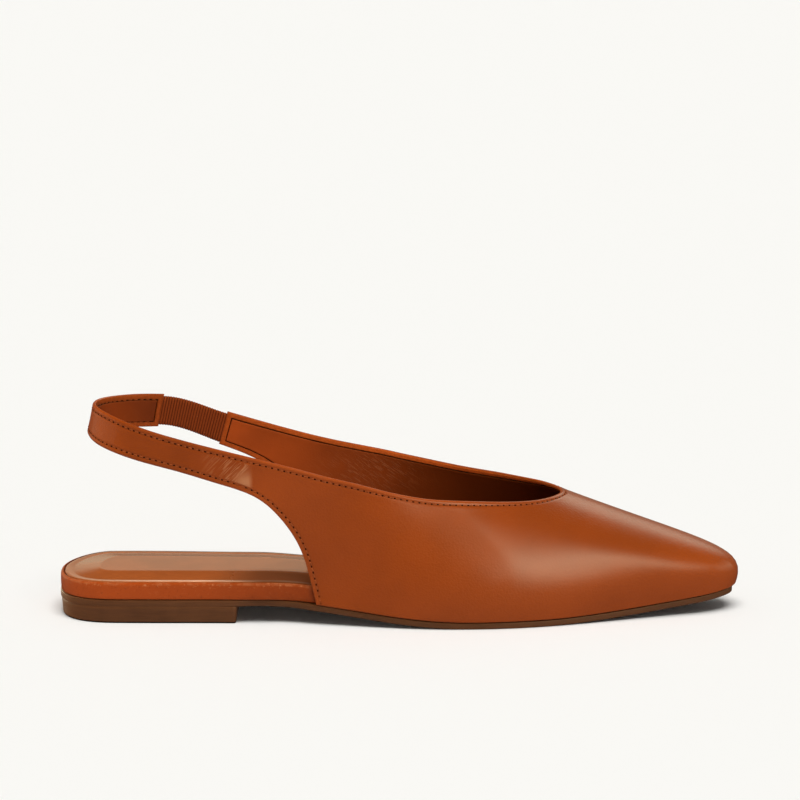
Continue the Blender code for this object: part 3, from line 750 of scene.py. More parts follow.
def build_upper():
    u = Upper(columns)
    rows = []
    turn = np.radians((90.0, 67.5, 45.0, 22.5))
    for t in turn:
        rows.append(('L', FOLD_R - FOLD_R * math.sin(t), FOLD_R - FOLD_R * math.cos(t)))
    rows += [('L', d, 0.0) for d in CLOSE]
    rows += [('M', f, 0.0) for f in np.arange(1, MID_OUT + 1) / (MID_OUT + 1)]
    rows += [('T', d, 0.0) for d in CLOSE[::-1]]
    for t in turn[::-1]:
        rows.append(('T', FOLD_R - FOLD_R * math.sin(t), FOLD_R - FOLD_R * math.cos(t)))
    outer_count = len(rows)
    inside = (0.95, 1.3, 1.65, 2.0, 2.08, 2.3, 2.42, 2.45, 2.58, 2.85, 3.5, 4.6)
    for t in np.radians((112.5, 135.0, 157.5, 180.0)):
        rows.append(('T', FOLD_R - FOLD_R * math.sin(t), FOLD_R - FOLD_R * math.cos(t)))
    rows += [('T', d, None) for d in inside]
    rows += [('M', f, None) for f in (np.arange(1, MID_IN + 1) / (MID_IN + 1))[::-1]]
    rows += [('L', d, None) for d in inside[::-1]]
    for t in np.radians((180.0, 157.5, 135.0, 112.5)):
        rows.append(('L', FOLD_R - FOLD_R * math.sin(t), FOLD_R - FOLD_R * math.cos(t)))
    size = len(rows)

    run = np.zeros((u.count, size))
    a, b = BAND / u.sin_low, u.length - BAND / u.sin_top
    for k, (anchor, d, depth) in enumerate(rows):
        if anchor == 'L':
            run[:, k] = d / u.sin_low
        elif anchor == 'T':
            run[:, k] = u.length - d / u.sin_top
        else:
            run[:, k] = a + (b - a) * d
    v = u.place(run)
    point, normal = u.at(v), u.normal(v)

    d_top = (u.length[:, None] - run) * u.sin_top[:, None]
    d_low = run * u.sin_low[:, None]
    reach = u.along[:, None] - u.knots[0], u.knots[-1] - u.along[:, None]
    d_end = np.minimum(np.maximum(reach[0], 0.0), np.maximum(reach[1], 0.0)) * np.ones_like(run)
    near = np.minimum(np.minimum(d_top, d_low), d_end)
    depth = np.zeros_like(run)
    for k, row in enumerate(rows):
        depth[:, k] = inner_depth(near[:, k]) if row[2] is None else row[2]

    # True distance from the outside face to the nearest free edge.
    edge = [u.at(np.ones((u.count, 1)))[:, 0]]
    for part in (slice(0, u.low_col[0] + 1), slice(u.low_col[1], None)):
        edge.append(u.c[0][part])
    fine = []
    for line in edge:
        step = np.concatenate([[0.0], np.cumsum(np.linalg.norm(np.diff(line, axis=0), axis=1))])
        s = np.arange(0.0, step[-1], 0.25)
        fine.append(np.stack([np.interp(s, step, line[:, i]) for i in range(3)], 1))
    fine = np.concatenate(fine)
    tree = KDTree(len(fine))
    for i, p in enumerate(fine):
        tree.insert(p, i)
    tree.balance()
    edge_d = np.full(run.shape, 9.0)
    for i in range(u.count):
        for k in range(outer_count):
            edge_d[i, k] = tree.find(point[i, k])[2]
    edge_d[:, :outer_count] = np.minimum(edge_d[:, :outer_count], d_end[:, :outer_count])

    lift = np.zeros_like(run)
    out = slice(4, outer_count - 4)
    lift[:, out] = edge_relief(edge_d[:, out]) + crease_relief(point[:, out])
    body = point + normal * (lift - depth)[..., None]

    # Rolled ends of the strap and of the stub.
    def roll(ring, nrm, dep, go, sign):
        caps = []
        for t in np.radians((30.0, 60.0, 82.0)):
            c = 1 - math.cos(t)
            shift = (dep - FOLD_R) * c
            caps.append(ring + nrm * shift[:, None] + go * END_R * math.sin(t))
        return caps
    first = roll(body[0], normal[0], depth[0], unit(point[0] - point[1]), -1)
    last = roll(body[-1], normal[-1], depth[-1], unit(point[-1] - point[-2]), 1)
    rings = np.concatenate([np.array(first[::-1]), body, np.array(last)])
    pad = lambda q: np.concatenate([np.repeat(q[:1], 3, 0), q, np.repeat(q[-1:], 3, 0)])
    count = len(rings)

    crease = np.zeros_like(run)
    x, z = point[..., 0], point[..., 2]
    near_side = (point[..., 1] < -15.0) * (edge_d > 2.6)
    root = ease((x - 55.0) / 8.0) * (1 - ease((x - 73.0) / 3.0)) * near_side
    crease[:, :outer_count] = (root * (0.35 + 0.65 * ease((x - 62.0) / 8.0)))[:, :outer_count]
    # Painted highlight on a patch at the strap's root, where the creased leather turns towards the light.
    wear_and_sheen = np.zeros_like(run)
    patch_sheen = ease((x - 67.0) / 6.5) * (1 - ease((x - 74.5) / 2.4)) * np.exp(-((z - 55.6) / 3.6) ** 2) * near_side
    wear_and_sheen[:, :outer_count] = patch_sheen[:, :outer_count]
    lip = 0.2 + 0.8 * ease((x - 58.0) / 16.0)
    # Painted shade and light on the folded edge: darker at the strap's back, lighter towards the throat.
    fold_painted_shading = np.interp(x, (0.0, 48.0, 66.0, 110.0, 150.0), (0.76, 0.76, 1.0, 1.0, 1.45))
    # Painted shade on the lining: darker on the strap's inner face and increasingly darker towards the throat.
    shade = np.interp(x, (0.0, 18.0, 26.0, 37.0, 45.0, 62.0, 70.0, 86.0, 101.0, 125.0, 136.0, 160.0, 185.0),
                      (0.84, 0.84, 0.70, 0.54, 0.60, 1.25, 1.20, 1.0, 0.78, 0.63, 0.48, 0.36, 0.34))
    lining_painted_shade = np.clip((1 - shade / 1.3) / 0.77, 0.0, 1.0)
    side = ease((-point[..., 1] - 4.0) / 8.0)
    # Painted light and shade on the outer leather: lighter at the strap's back end and darker along the strap, a
    # lighter patch high on the lateral quarter and a darker one low on it, lighter towards the lateral toe and darker
    # over the top of the vamp.
    painted_shading = np.interp(x, (0.0, 12.0, 17.0, 21.0, 30.0, 50.0, 62.0), (1.50, 1.42, 1.28, 1.10, 0.88, 0.86, 1.0))
    painted_shading = painted_shading + 0.16 * np.exp(-((x - 81.0) / 9.0) ** 2 - ((z - 50.0) / 11.0) ** 2) * side
    painted_shading = painted_shading - 0.08 * np.exp(-((x - 99.0) / 12.0) ** 2 - ((z - 22.0) / 14.0) ** 2) * side
    painted_shading = painted_shading + 0.11 * ease((x - 228.0) / 26.0) * side
    painted_shading = painted_shading - 0.08 * ease((x - 160.0) / 20.0) * (1 - ease((x - 232.0) / 20.0)) * ease((z - 18.0) / 10.0)
    inner = (np.exp(-((x - 121.0) / 17.0) ** 2 - ((z - 47.5) / 8.0) ** 2) * (point[..., 1] > 15.0))
    crease[:, outer_count:] = np.clip(1.25 * inner[:, outer_count:], 0.0, 1.0)

    faces = ring_faces(count, size)
    at = np.tile(np.arange(size), count - 1)
    k2 = (at + 1) % size
    col = np.repeat(np.arange(count - 1), size)
    near_p = pad(near)
    mean = (near_p[col, at] + near_p[col, k2] + near_p[col + 1, at] + near_p[col + 1, k2]) / 4
    kind = np.zeros(len(faces), int)
    # Inner faces: fold strip, near-black gap at the lining's edge as painted shade, then lining.
    inner_face = (at >= outer_count + 1) & (at < size - 2)
    kind[inner_face & (mean < 2.03)] = 1
    kind[inner_face & (mean >= 2.03) & (mean < 2.455)] = 2
    kind[inner_face & (mean >= 2.455)] = 3
    kind[(at >= outer_count - 1) & (at <= outer_count)] = 0
    kind[(at >= size - 2)] = 0
    caps_a, caps_b = zip_faces(0, size), zip_faces((count - 1) * size, size, flip=True)
    all_faces = [f[::-1] for f in faces.tolist()] + caps_a + caps_b
    kinds = list(kind) + [0] * (len(caps_a) + len(caps_b))
    obj = make_mesh('upper_leather', rings, all_faces,
                    [MAT['leather'], MAT['fold'], MAT['groove'], MAT['lining']], kinds,
                    marks={'edge_d': pad(edge_d), 'crease': pad(crease), 'wear_and_sheen': pad(wear_and_sheen), 'lip': pad(lip),
                           'lining_painted_shade': pad(lining_painted_shade), 'painted_shading': pad(painted_shading),
                           'fold_painted_shading': pad(fold_painted_shading)})
    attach(obj, 'root')
    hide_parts('upper')
    return u, point + normal * lift[..., None], normal, edge_d, outer_count


def resample(line, others, pitch):
    step = np.concatenate([[0.0], np.cumsum(np.linalg.norm(np.diff(line, axis=0), axis=1))])
    count = max(1, int(step[-1] / pitch))
    s = (np.arange(count + 1) * pitch) + (step[-1] - count * pitch) / 2
    pick = lambda a: np.stack([np.interp(s, step, a[:, i]) for i in range(a.shape[1])], 1)
    return pick(line), [unit(pick(o)) for o in others]


def seam_lines(u, face, normal, edge_d, outer_count):
    """Stitch lines on the outside face, as (points, normals)."""
    lines = []
    pick = lambda run: (lambda v: (u.at(v)[:, 0], u.normal(v)[:, 0]))(u.place(run[:, None]))
    p, n = pick(u.length - SEAM_IN / u.sin_top)
    keep = slice(7, -7)
    lines.append((p[keep], n[keep]))
    p_low, n_low = pick(SEAM_IN / u.sin_low)
    for corner, step in ((u.low_col[0], 1), (u.low_col[1], -1)):
        # Ahead of the corner rib the line goes on down to the feather.
        tail_p, tail_n = [], []
        cols = [corner + step * i for i in range(-4, 9)]
        for k in range(16, 3, -1):
            d = edge_side(u, face[cols, k], corner, step)
            q, m = face[cols, k], normal[cols, k]
            for i in range(len(cols) - 1):
                if d[i] <= SEAM_IN < d[i + 1]:
                    f = (SEAM_IN - d[i]) / (d[i + 1] - d[i])
                    tail_p.append(q[i] + f * (q[i + 1] - q[i]))
                    tail_n.append(m[i] + f * (m[i + 1] - m[i]))
                    break
        tail_p, tail_n = np.array(tail_p), np.array(tail_n)
        if step == 1:
            main_p, main_n = p_low[7:corner - 5], n_low[7:corner - 5]
        else:
            main_p, main_n = p_low[corner + 6:-7][::-1], n_low[corner + 6:-7][::-1]
        keep = tail_p[:, 2] < main_p[-1, 2] - 0.4
        lines.append((np.concatenate([main_p, tail_p[keep]]), np.concatenate([main_n, tail_n[keep]])))
    for col in (6, u.count - 7):
        run = np.linspace(SEAM_IN / u.sin_low[col], u.length[col] - SEAM_IN / u.sin_top[col], 12)[1:-1]
        v = np.interp(run, u.run[col], u.fine)
        vv = np.tile(v, (u.count, 1))
        lines.append((u.at(vv)[col], u.normal(vv)[col]))
    return lines


def edge_side(u, q, corner, step):
    """Distance of points to the free rear edge on one side."""
    part = slice(max(0, corner - 60), corner + 1) if step == 1 else slice(corner, corner + 60)
    line = u.c[0][part]
    a, b = line[:-1], line[1:]
    d = b - a
    t = np.clip((((q[:, None] - a) * d).sum(-1)) / (d * d).sum(-1), 0.0, 1.0)
    return np.linalg.norm(q[:, None] - (a + t[..., None] * d), axis=-1).min(1)


def build_stitches(u, face, normal, edge_d, outer_count):
    lines = seam_lines(u, face, normal, edge_d, outer_count)
    # The same thread shows inside the strap, in the groove beside the fold.
    last = u.first[9]
    for from_top in (True, False):
        run = (u.length - 2.2 / u.sin_top if from_top else 2.2 / u.sin_low)[:, None]
        v = u.place(run)
        p, n = u.at(v)[:, 0], u.normal(v)[:, 0]
        lines.append(((p - n * 1.02)[10:last], -n[10:last]))
    verts, faces, hv, hf = [], [], [], []
    along = np.linspace(-1.0, 1.0, 7)
    around = np.arange(8) / 8 * 2 * math.pi
    for number, (p, n) in enumerate(lines):
        p, (n,) = resample(p, [n], STITCH_PITCH)
        inside = number >= len(lines) - 2
        for i in range(len(p) - 1):
            mid, nm = (p[i] + p[i + 1]) / 2, unit(n[i] + n[i + 1])
            go = unit(p[i + 1] - p[i])
            side = np.cross(nm, go)
            go = unit(go + 0.10 * side)
            side = np.cross(nm, go)
            base = len(verts) * 56
            sink = -0.10 if not inside else 0.0
            block = []
            for t in along:
                thick = THREAD_R * math.sqrt(max(1 - t ** 4, 0.03))
                lift = sink + 0.10 * (1 - t * t) - 0.16 * t ** 6
                centre = mid + go * (t * STITCH_LEN / 2) + nm * lift
                block.append([centre + thick * (1.15 * math.cos(a) * side + 0.85 * math.sin(a) * nm) for a in around])
            verts.append(np.array(block).reshape(-1, 3))
            faces += (ring_faces(7, 8) + base).tolist()
            faces.append(tuple(base + j for j in range(8))[::-1])
            faces.append(tuple(base + 48 + j for j in range(8)))
        # Near-black discs on the stitch line: painted shade standing in for the needle holes.
        for i in range(len(p)):
            nm = n[i]
            go = unit(p[min(i + 1, len(p) - 1)] - p[max(i - 1, 0)])
            side = np.cross(nm, go)
            base = len(hv) * 17
            r = HOLE_R
            lift = -0.15 + 0.07 if not inside else 0.03
            ring0 = [p[i] + nm * (lift - 0.12) + r * 1.05 * (1.0 * math.cos(a) * go + 0.85 * math.sin(a) * side) for a in around]
            ring1 = [p[i] + nm * (lift + 0.04) + r * 0.8 * (1.0 * math.cos(a) * go + 0.85 * math.sin(a) * side) for a in around]
            hv.append(np.array(ring0 + ring1 + [p[i] + nm * (lift + 0.06)]))
            for j in range(8):
                k = (j + 1) % 8
                hf.append((base + j, base + k, base + 8 + k, base + 8 + j))
                hf.append((base + 8 + j, base + 8 + k, base + 16))
            hf.append(tuple(base + j for j in range(8))[::-1])
    thread = make_mesh('stitching', np.concatenate(verts), faces, [MAT['thread']])
    hole_shades = make_mesh('needle_hole_shades', np.concatenate(hv), hf, [MAT['hole_shade']])
    for o in (thread, hole_shades):
        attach(o, 'root')


# ---------------------------------------------------------------- gore
def build_gore():
    u = Upper(lambda j, step, n: np.arange(6) / 6)
    rows = np.linspace(ELASTIC_MARGIN, 1 - ELASTIC_MARGIN, 15)
    v = np.tile(rows, (u.count, 1))
    grid, normal = u.at(v), u.normal(v)
    ends = []
    for at, inner in ((0, 1), (-1, -2)):
        line = grid[at] - normal[at] * WALL / 2
        away = unit(grid[at] - grid[inner])
        ends.append((line - away * 0.35, away))
    (start, leave), (stop, arrive) = ends
    reach = np.linalg.norm(stop - start, axis=1, keepdims=True)
    span = float(reach.mean())
    ribs = int(round(span / GORE_RIB))
    ts = np.linspace(0.0, 1.0, ribs * 6 + 1)
    col = np.array([(2 * t ** 3 - 3 * t ** 2 + 1) * start + (3 * t ** 2 - 2 * t ** 3) * stop
                    + (t ** 3 - 2 * t ** 2 + t) * reach * leave - (t ** 3 - t ** 2) * reach * arrive for t in ts])
    out = unit(np.cross(np.gradient(col, axis=0), np.gradient(col, axis=1)))
    out *= np.sign((out * np.array([0.0, 1.0, 0.0])).sum(-1).mean())
    up = unit(col[:, -1] - col[:, 0])[:, None]
    wave = np.abs(np.cos(math.pi * ribs * ts))
    crest = 1 - (1 - wave) ** 1.6
    across = np.linspace(-1.0, 1.0, 15)
    edge = np.sqrt(np.clip(1 - np.abs(across) ** 10, 0.0, 1.0))
    thick = (0.34 + 0.20 * crest[:, None]) * (0.25 + 0.75 * edge[None])
    scallop = 0.16 * crest[:, None] * (np.abs(across) ** 8 * np.sign(across))[None]
    base = col + up * scallop[..., None]
    front, back = base + out * thick[..., None], base - out * thick[..., None]
    rings = np.concatenate([front, back[:, ::-1]], axis=1)
    size = rings.shape[1]
    faces = ring_faces(len(rings), size).tolist()
    faces += [f[::-1] for f in zip_faces(0, size)] + zip_faces((len(rings) - 1) * size, size)
    mark = np.repeat(crest[:, None], size, 1)
    obj = make_mesh('gore_ribs', rings, faces, [MAT['gore']], marks={'crest': mark})
    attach(obj, 'root')
    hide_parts('elastic')


# ---------------------------------------------------------------- sole pieces
def outline(start, stop, inset, count):
    """Closed plan outline, from the heel along the lateral side to the toe and back."""
    t = (1 - np.cos(np.pi * np.linspace(0.0, 1.0, 400))) / 2
    x = start + 0.0005 + (stop - start - 0.001) * t
    ins = inset(x)
    lat = np.stack([x, -half_width(x, -1, start, stop, ins)], 1)
    med = np.stack([x, half_width(x, 1, start, stop, ins)], 1)[::-1]
    return even(np.concatenate([lat, med]), count)


def even(loop, count):
    closed = np.concatenate([loop, loop[:1]])
    step = np.concatenate([[0.0], np.cumsum(np.linalg.norm(np.diff(closed, axis=0), axis=1))])
    s = (np.arange(count) + 0.5) / count * step[-1]
    return np.stack([np.interp(s, step, closed[:, i]) for i in range(2)], 1)


def inward(loop):
    go = np.roll(loop, -1, 0) - np.roll(loop, 1, 0)
    go = (go + np.roll(go, 1, 0) + np.roll(go, -1, 0)) / 3
    n = np.stack([-go[:, 1], go[:, 0]], 1)
    return unit(n)


def seat_inset(x):
    return INSOLE_TUCK * ease((x - INSOLE_TUCK_START) / (INSOLE_TUCK_END - INSOLE_TUCK_START))


def sole_inset(x):
    return (OUTSOLE_INSET * ease((x - INSOLE_TUCK_START) / (INSOLE_TUCK_END - INSOLE_TUCK_START))
            + WAIST_INSET * ease((x - HEEL_LENGTH + 2.0) / 10.0) * (1 - ease((x - 88.0) / 14.0)))


def spine_of(loop, back, front, count_mid=60):
    """For each outline point the point of the middle line it runs to."""
    x = np.clip(loop[:, 0], back, front)
    lat, med = half_width(x, -1), half_width(x, 1)
    return np.stack([x, (med - lat) / 2], 1)


def build_insole():
    stop = LENGTH - INSOLE_TUCK - 0.6
    loop = outline(0.2, stop, seat_inset, 560)
    nrm = inward(loop)
    spine = spine_of(loop, 27.0, 240.0)

    def top_at(x):
        thin = ease((x - INSOLE_THIN_START) / (INSOLE_THIN_END - INSOLE_THIN_START))
        return feather(x) + RAND_H + 0.25 * (1 - thin) + (INSOLE_T - RAND_H) * thin

    rings, kinds, rim, painted_edge_highlight = [], [], [], []

    def add(d, drop=None, rise=None, kind=0, pale=0.0):
        p = loop + nrm * (d if np.ndim(d) else np.full(len(loop), d))[:, None]
        z = feather(p[:, 0]) + rise if drop is None else top_at(p[:, 0]) - drop
        rings.append(np.column_stack([p, z]))
        kinds.append(kind)
        rim.append(np.full(len(loop), 9.0) if drop is None else np.broadcast_to(drop, len(loop)).astype(float))
        # painted highlight on the sock's rolled edge: it shows on the lateral side and fades towards the back
        shows = ease(0.5 - p[:, 1] / 10.0) * np.interp(p[:, 0], (12.0, 22.0, 36.0, 58.0, 92.0, 104.0),
                                                       (0.10, 0.30, 0.68, 1.0, 1.0, 0.0))
        painted_edge_highlight.append(pale * shows)

    add(1.2, rise=0.0, kind=1)
    add(0.45, rise=0.0, kind=1)
    add(0.12, rise=0.14, kind=1)
    add(0.0, rise=0.5, kind=1)
    for f in np.linspace(0.12, 0.9, 8):
        add(-0.10 * math.sin(math.pi * f), drop=(RAND_H - 0.5) * (1 - f) + 0.25 * f, kind=1)
    # The sock's edge meets the wrapped band on top, just inside the band's rounded shoulder.
    for t in np.radians((31.5, 63.0, 90.0)):
        add(0.9 * (1 - math.cos(t)), drop=0.92 - 0.9 * math.sin(t), kind=1)
    add(1.37, drop=0.15, kind=2)
    add(1.45, drop=0.41, kind=2)
    add(1.61, drop=0.29, kind=2)
    add(1.69, drop=0.05)
    for d, drop, pale in ((1.78, 0.0, 0.3), (2.0, -0.04, 0.85), (2.5, -0.06, 0.95), (3.1, -0.05, 0.95),
                          (3.7, -0.03, 0.7), (4.3, -0.01, 0.3), (4.8, 0.0, 0.0)):
        add(d, drop=drop, pale=pale)
    pad_start = 5.0
    base = loop + nrm * pad_start
    room = np.linalg.norm(spine - base, axis=1)
    slope = np.minimum(10.4, 0.65 * room)
    for f in (0.0, 0.05, 0.12, 0.22, 0.34, 0.47, 0.60, 0.72, 0.83, 0.91, 0.96, 1.0, 1.04, 1.09, 1.2, 1.4, 2.0, 3.0):
        d = slope * f if f <= 1.2 else slope * 1.2 + (0.97 * room - slope * 1.2) * ((f - 1.2) / 1.8)
        p = base + (spine - base) * (d / room)[:, None]
        ramp = d / slope
        ramp = np.where(ramp < 0.88, ramp, 0.88 + 0.12 * (1 - (1 - np.clip((ramp - 0.88) / 0.24, 0.0, 1.0)) ** 2))
        rise = 1.20 * ramp
        crest = np.exp(-((d - slope) / 0.40) ** 2)
        rise = rise + 0.04 * crest
        rings.append(np.column_stack([p, top_at(p[:, 0]) + rise]))
        kinds.append(0)
        rim.append(np.full(len(loop), 9.0))
        # Painted highlight along the crest of the pad on the medial side.
        painted_edge_highlight.append(0.16 * crest * ease((p[:, 1] - 8.0) / 6.0) * ease((p[:, 0] - 12.0) / 14.0)
                    * (1 - ease((p[:, 0] - 88.0) / 18.0)))
    # Painted shade on the wrapped band: full colour at the back, darker forwards under the upper's overhang.
    painted_shading = [np.interp(ring[:, 0], (20.0, 60.0, 84.0, 100.0), (1.0, 0.62, 0.0, 0.0)) for ring in rings]
    # Painted shade on the near band of the footbed towards the front, under the lateral quarter.
    shady = [ease((ring[:, 0] - 56.0) / 26.0) * ease((-ring[:, 1] - 9.0) / 7.0) for ring in rings]
    size = len(loop)
    faces = ring_faces(len(rings), size)
    index = np.repeat(np.array(kinds[1:]), size)
    faces = faces.tolist()
    bottom, top = zip_faces(0, size), zip_faces((len(rings) - 1) * size, size)
    faces += [f[::-1] for f in bottom] + top
    index = list(index) + [1] * len(bottom) + [0] * len(top)
    obj = make_mesh('footbed', np.array(rings), faces, [MAT['sock'], MAT['rand'], MAT['seam']], index,
                    marks={'rim': np.array(rim), 'painted_edge_highlight': np.array(painted_edge_highlight), 'painted_shading': np.array(painted_shading),
                           'shady': np.array(shady)})
    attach(obj, 'root')
    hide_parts('insole')


def build_outsole():
    stop = LENGTH - OUTSOLE_TOE_INSET
    loop = outline(0.0, stop, sole_inset, 520)
    nrm = inward(loop)
    spine = spine_of(loop, 25.0, 242.0)
    x = loop[:, 0]
    seat = 1 - ease((x - 64.0) / 6.0)
    soft = 0.40 * (1 - seat) + 0.03 * seat
    rings, kinds = [], []

    def add(d, z, kind=0, pull=0.0):
        p = loop + nrm * (np.zeros(len(loop)) + d)[:, None]
        if pull:
            p = p + (spine - p) * pull
        rings.append(np.column_stack([p, underside(p[:, 0]) + z]))
        kinds.append(kind)

    add(6.0, 0.0, 1, 0.95)
    add(6.0, 0.0, 1, 0.60)
    add(6.0, 0.0, 1, 0.25)
    add(4.3, 0.0, 1)
    add(3.9, 0.0, 1)
    add(3.7, 0.28, 1)
    add(3.4, 0.28, 1)
    add(3.2, 0.0, 1)
    add(soft + 0.25, 0.0, 1)
    for t in np.radians((0.0, 30.0, 60.0, 90.0)):
        add(soft * (1 - math.sin(t)), soft * (1 - math.cos(t)))
    for f in (0.35, 0.65):
        add(-0.04, OUTSOLE_T * f)
    for t in np.radians((0.0, 45.0, 90.0)):
        add(0.22 * (1 - math.cos(t)), OUTSOLE_T - 0.22 * (1 - math.sin(t)))
    add(2.5, OUTSOLE_T)
    add(6.0, OUTSOLE_T, 0, 0.95)
    size = len(loop)
    faces = ring_faces(len(rings), size).tolist()
    index = list(np.repeat(np.array(kinds[1:]), size))
    bottom, top = zip_faces(0, size), zip_faces((len(rings) - 1) * size, size)
    faces += [f[::-1] for f in bottom] + top
    index += [1] * len(bottom) + [0] * len(top)
    obj = make_mesh('sole_sheet', np.array(rings), faces, [MAT['edge'], MAT['tread']], index, sharp=50.0)
    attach(obj, 'root')
    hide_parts('outsole')


def build_heel():
    r = 1.6
    t = 1 - np.cos(np.pi / 2 * np.linspace(0.0, 1.0, 200))
    x = 0.3 + 0.0005 + (HEEL_LENGTH - r - 0.301) * t
    lat = np.stack([x, -half_width(x, -1, 0.3)], 1)
    med = np.stack([x, half_width(x, 1, 0.3)], 1)
    turn = np.radians(np.linspace(0.0, 90.0, 10))[1:]
    wl, wm = -lat[-1, 1], med[-1, 1]
    corner_l = np.stack([HEEL_LENGTH - r + r * np.sin(turn), -(wl - r + r * np.cos(turn))], 1)
    corner_m = np.stack([HEEL_LENGTH - r + r * np.sin(turn), wm - r + r * np.cos(turn)], 1)[::-1]
    loop = even(np.concatenate([lat, corner_l, corner_m, med[::-1]]), 360)
    nrm = inward(loop)
    spine = np.stack([np.clip(loop[:, 0], 24.0, 46.0), np.zeros(len(loop))], 1)
    high = SEAT_UNDER - 0.02
    rings, kinds = [], []

    def add(d, z, kind=0, pull=0.0):
        p = loop + nrm * (np.zeros(len(loop)) + d)[:, None]
        if pull:
            p = p + (spine - p) * pull
        rings.append(np.column_stack([p, np.full(len(p), z)]))
        kinds.append(kind)

    taper = lambda z: HEEL_TAPER * (1 - z / high)
    add(1.3, 0.0, 1, 0.95)
    add(1.3, 0.0, 1, 0.5)
    add(1.3, 0.0, 1, 0.15)
    add(1.3, 0.0, 1)
    # The bottom bevel takes the near-black material: a painted contact shadow along the heel's foot.
    for a in np.radians((0.0, 30.0, 60.0, 90.0)):
        z = 0.6 * (1 - math.cos(a))
        add(taper(0.6) + 0.6 * (1 - math.sin(a)), z, 2)
    for z in (1.6, 2.8, 4.0, 5.2):
        add(taper(z), z)
    add(0.0, high - 0.02)
    add(0.02, high)
    add(1.3, high)
    add(1.3, high, 0, 0.95)
    size = len(loop)
    faces = ring_faces(len(rings), size).tolist()
    index = list(np.repeat(np.array(kinds[1:]), size))
    bottom, top = zip_faces(0, size), zip_faces((len(rings) - 1) * size, size)
    faces += [f[::-1] for f in bottom] + top
    index += [1] * len(bottom) + [0] * len(top)
    obj = make_mesh('heel_block', np.array(rings), faces, [MAT['heel'], MAT['tread'], MAT['foot']], index, sharp=50.0)
    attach(obj, 'root')
    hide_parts('heel')


# ---------------------------------------------------------------- studio
def build_floor():
    mesh = bpy.data.meshes.new('floor')
    s = 40.0
    mesh.from_pydata([(-s, -s, 0), (s, -s, 0), (s, s, 0), (-s, s, 0)], [], [(0, 1, 2, 3)])
    m, tree, bsdf = shader('floor_paper', Base_Color=GROUND, Roughness=1.0, Specular_IOR_Level=0.0)
    mesh.materials.append(m)
    floor = bpy.data.objects.new('floor', mesh)
    bpy.context.scene.collection.objects.link(floor)
    floor.visible_glossy = False


def build_world():
    world = bpy.data.worlds.new('studio')
    bpy.context.scene.world = world
    world.use_nodes = True
    tree = world.node_tree
    tree.nodes.clear()
    n = Nodes(tree)
    out = n.new('ShaderNodeOutputWorld')
    path = n.new('ShaderNodeLightPath')
    fill = n.new('ShaderNodeBackground', Color=(1.0, 1.0, 1.0, 1.0), Strength=AMBIENT)
    paper = n.new('ShaderNodeBackground', Color=(*GROUND, 1.0), Strength=1.0)
    both = n.new('ShaderNodeMixShader', i0=path.outputs['Is Camera Ray'], i1=fill.outputs[0], i2=paper.outputs[0])
    n.to(out.inputs['Surface'], both.outputs[0])
    world.cycles.sampling_method = 'NONE'


# Lamps: where each stands (azimuth 0 is the viewer's side and grows towards the toe), its width in
# degrees as the shoe sees it, its light, and the group of objects it lights.
#    name          azim.  elev.  width  light  lights
LAMPS = (
    ('overhead',      0.0,  82.0,  70.0,  0.96, 'shoe'),
    ('front_right',  34.0,  20.0,  50.0,  0.97, 'shoe'),
    ('front_left',  -88.0,  18.0,  50.0,  0.62, 'shoe'),
    ('heel_left',  -118.0,  12.0,  50.0,  2.20, 'base'),
    ('behind',      165.0,  12.0,  60.0,  0.55, 'shoe'),
    ('paper_top',    12.0,  72.0,  40.0,  0.84, 'floor'),
    ('paper_sky',     0.0,  90.0, 150.0,  0.15, 'floor'),
    ('paper_fill',    0.0,  90.0,  40.0, 0.018, 'floor', False),
)


def from_way(azimuth, elevation):
    a, e = math.radians(azimuth), math.radians(elevation)
    return Vector((math.sin(a) * math.cos(e), -math.cos(a) * math.cos(e), math.sin(e)))


def build_lamp(name, azimuth, elevation, width, amount, lights, shadow=True):
    """Broad lamp that lights the body colours only."""
    light = bpy.data.lights.new(name, 'SUN')
    light.angle = math.radians(width)
    light.energy = amount * math.pi
    light.use_shadow = shadow
    light.cycles.use_multiple_importance_sampling = False
    obj = bpy.data.objects.new(name, light)
    obj.rotation_euler = (-from_way(azimuth, elevation)).to_track_quat('-Z', 'Y').to_euler()
    obj.visible_glossy = False
    obj.visible_camera = False
    bpy.context.scene.collection.objects.link(obj)
    obj.light_linking.receiver_collection = groups[lights]


# Cards: middle and half size in degrees as the shoe sees them, roll, radiance, colour, and how the
# light fades from the card's left edge to its right one and up and down from its middle.
WARM = (1.0, 0.97, 0.68)
PALE = (0.92, 1.0, 0.79)
EVEN = ((0.0, 1.0), (1.0, 1.0))
KEY_FADE = ((0.0, 0.80), (0.06, 0.95), (0.16, 1.0), (0.24, 0.85), (0.35, 0.56), (0.63, 0.28), (1.0, 0.10))
HALO_FADE = ((0.0, 0.0), (0.45, 0.22), (0.75, 0.62), (0.93, 1.1), (1.0, 0.9))
RIM_FADE = ((0.0, 0.0), (0.30, 0.35), (0.55, 1.0), (1.0, 1.0))
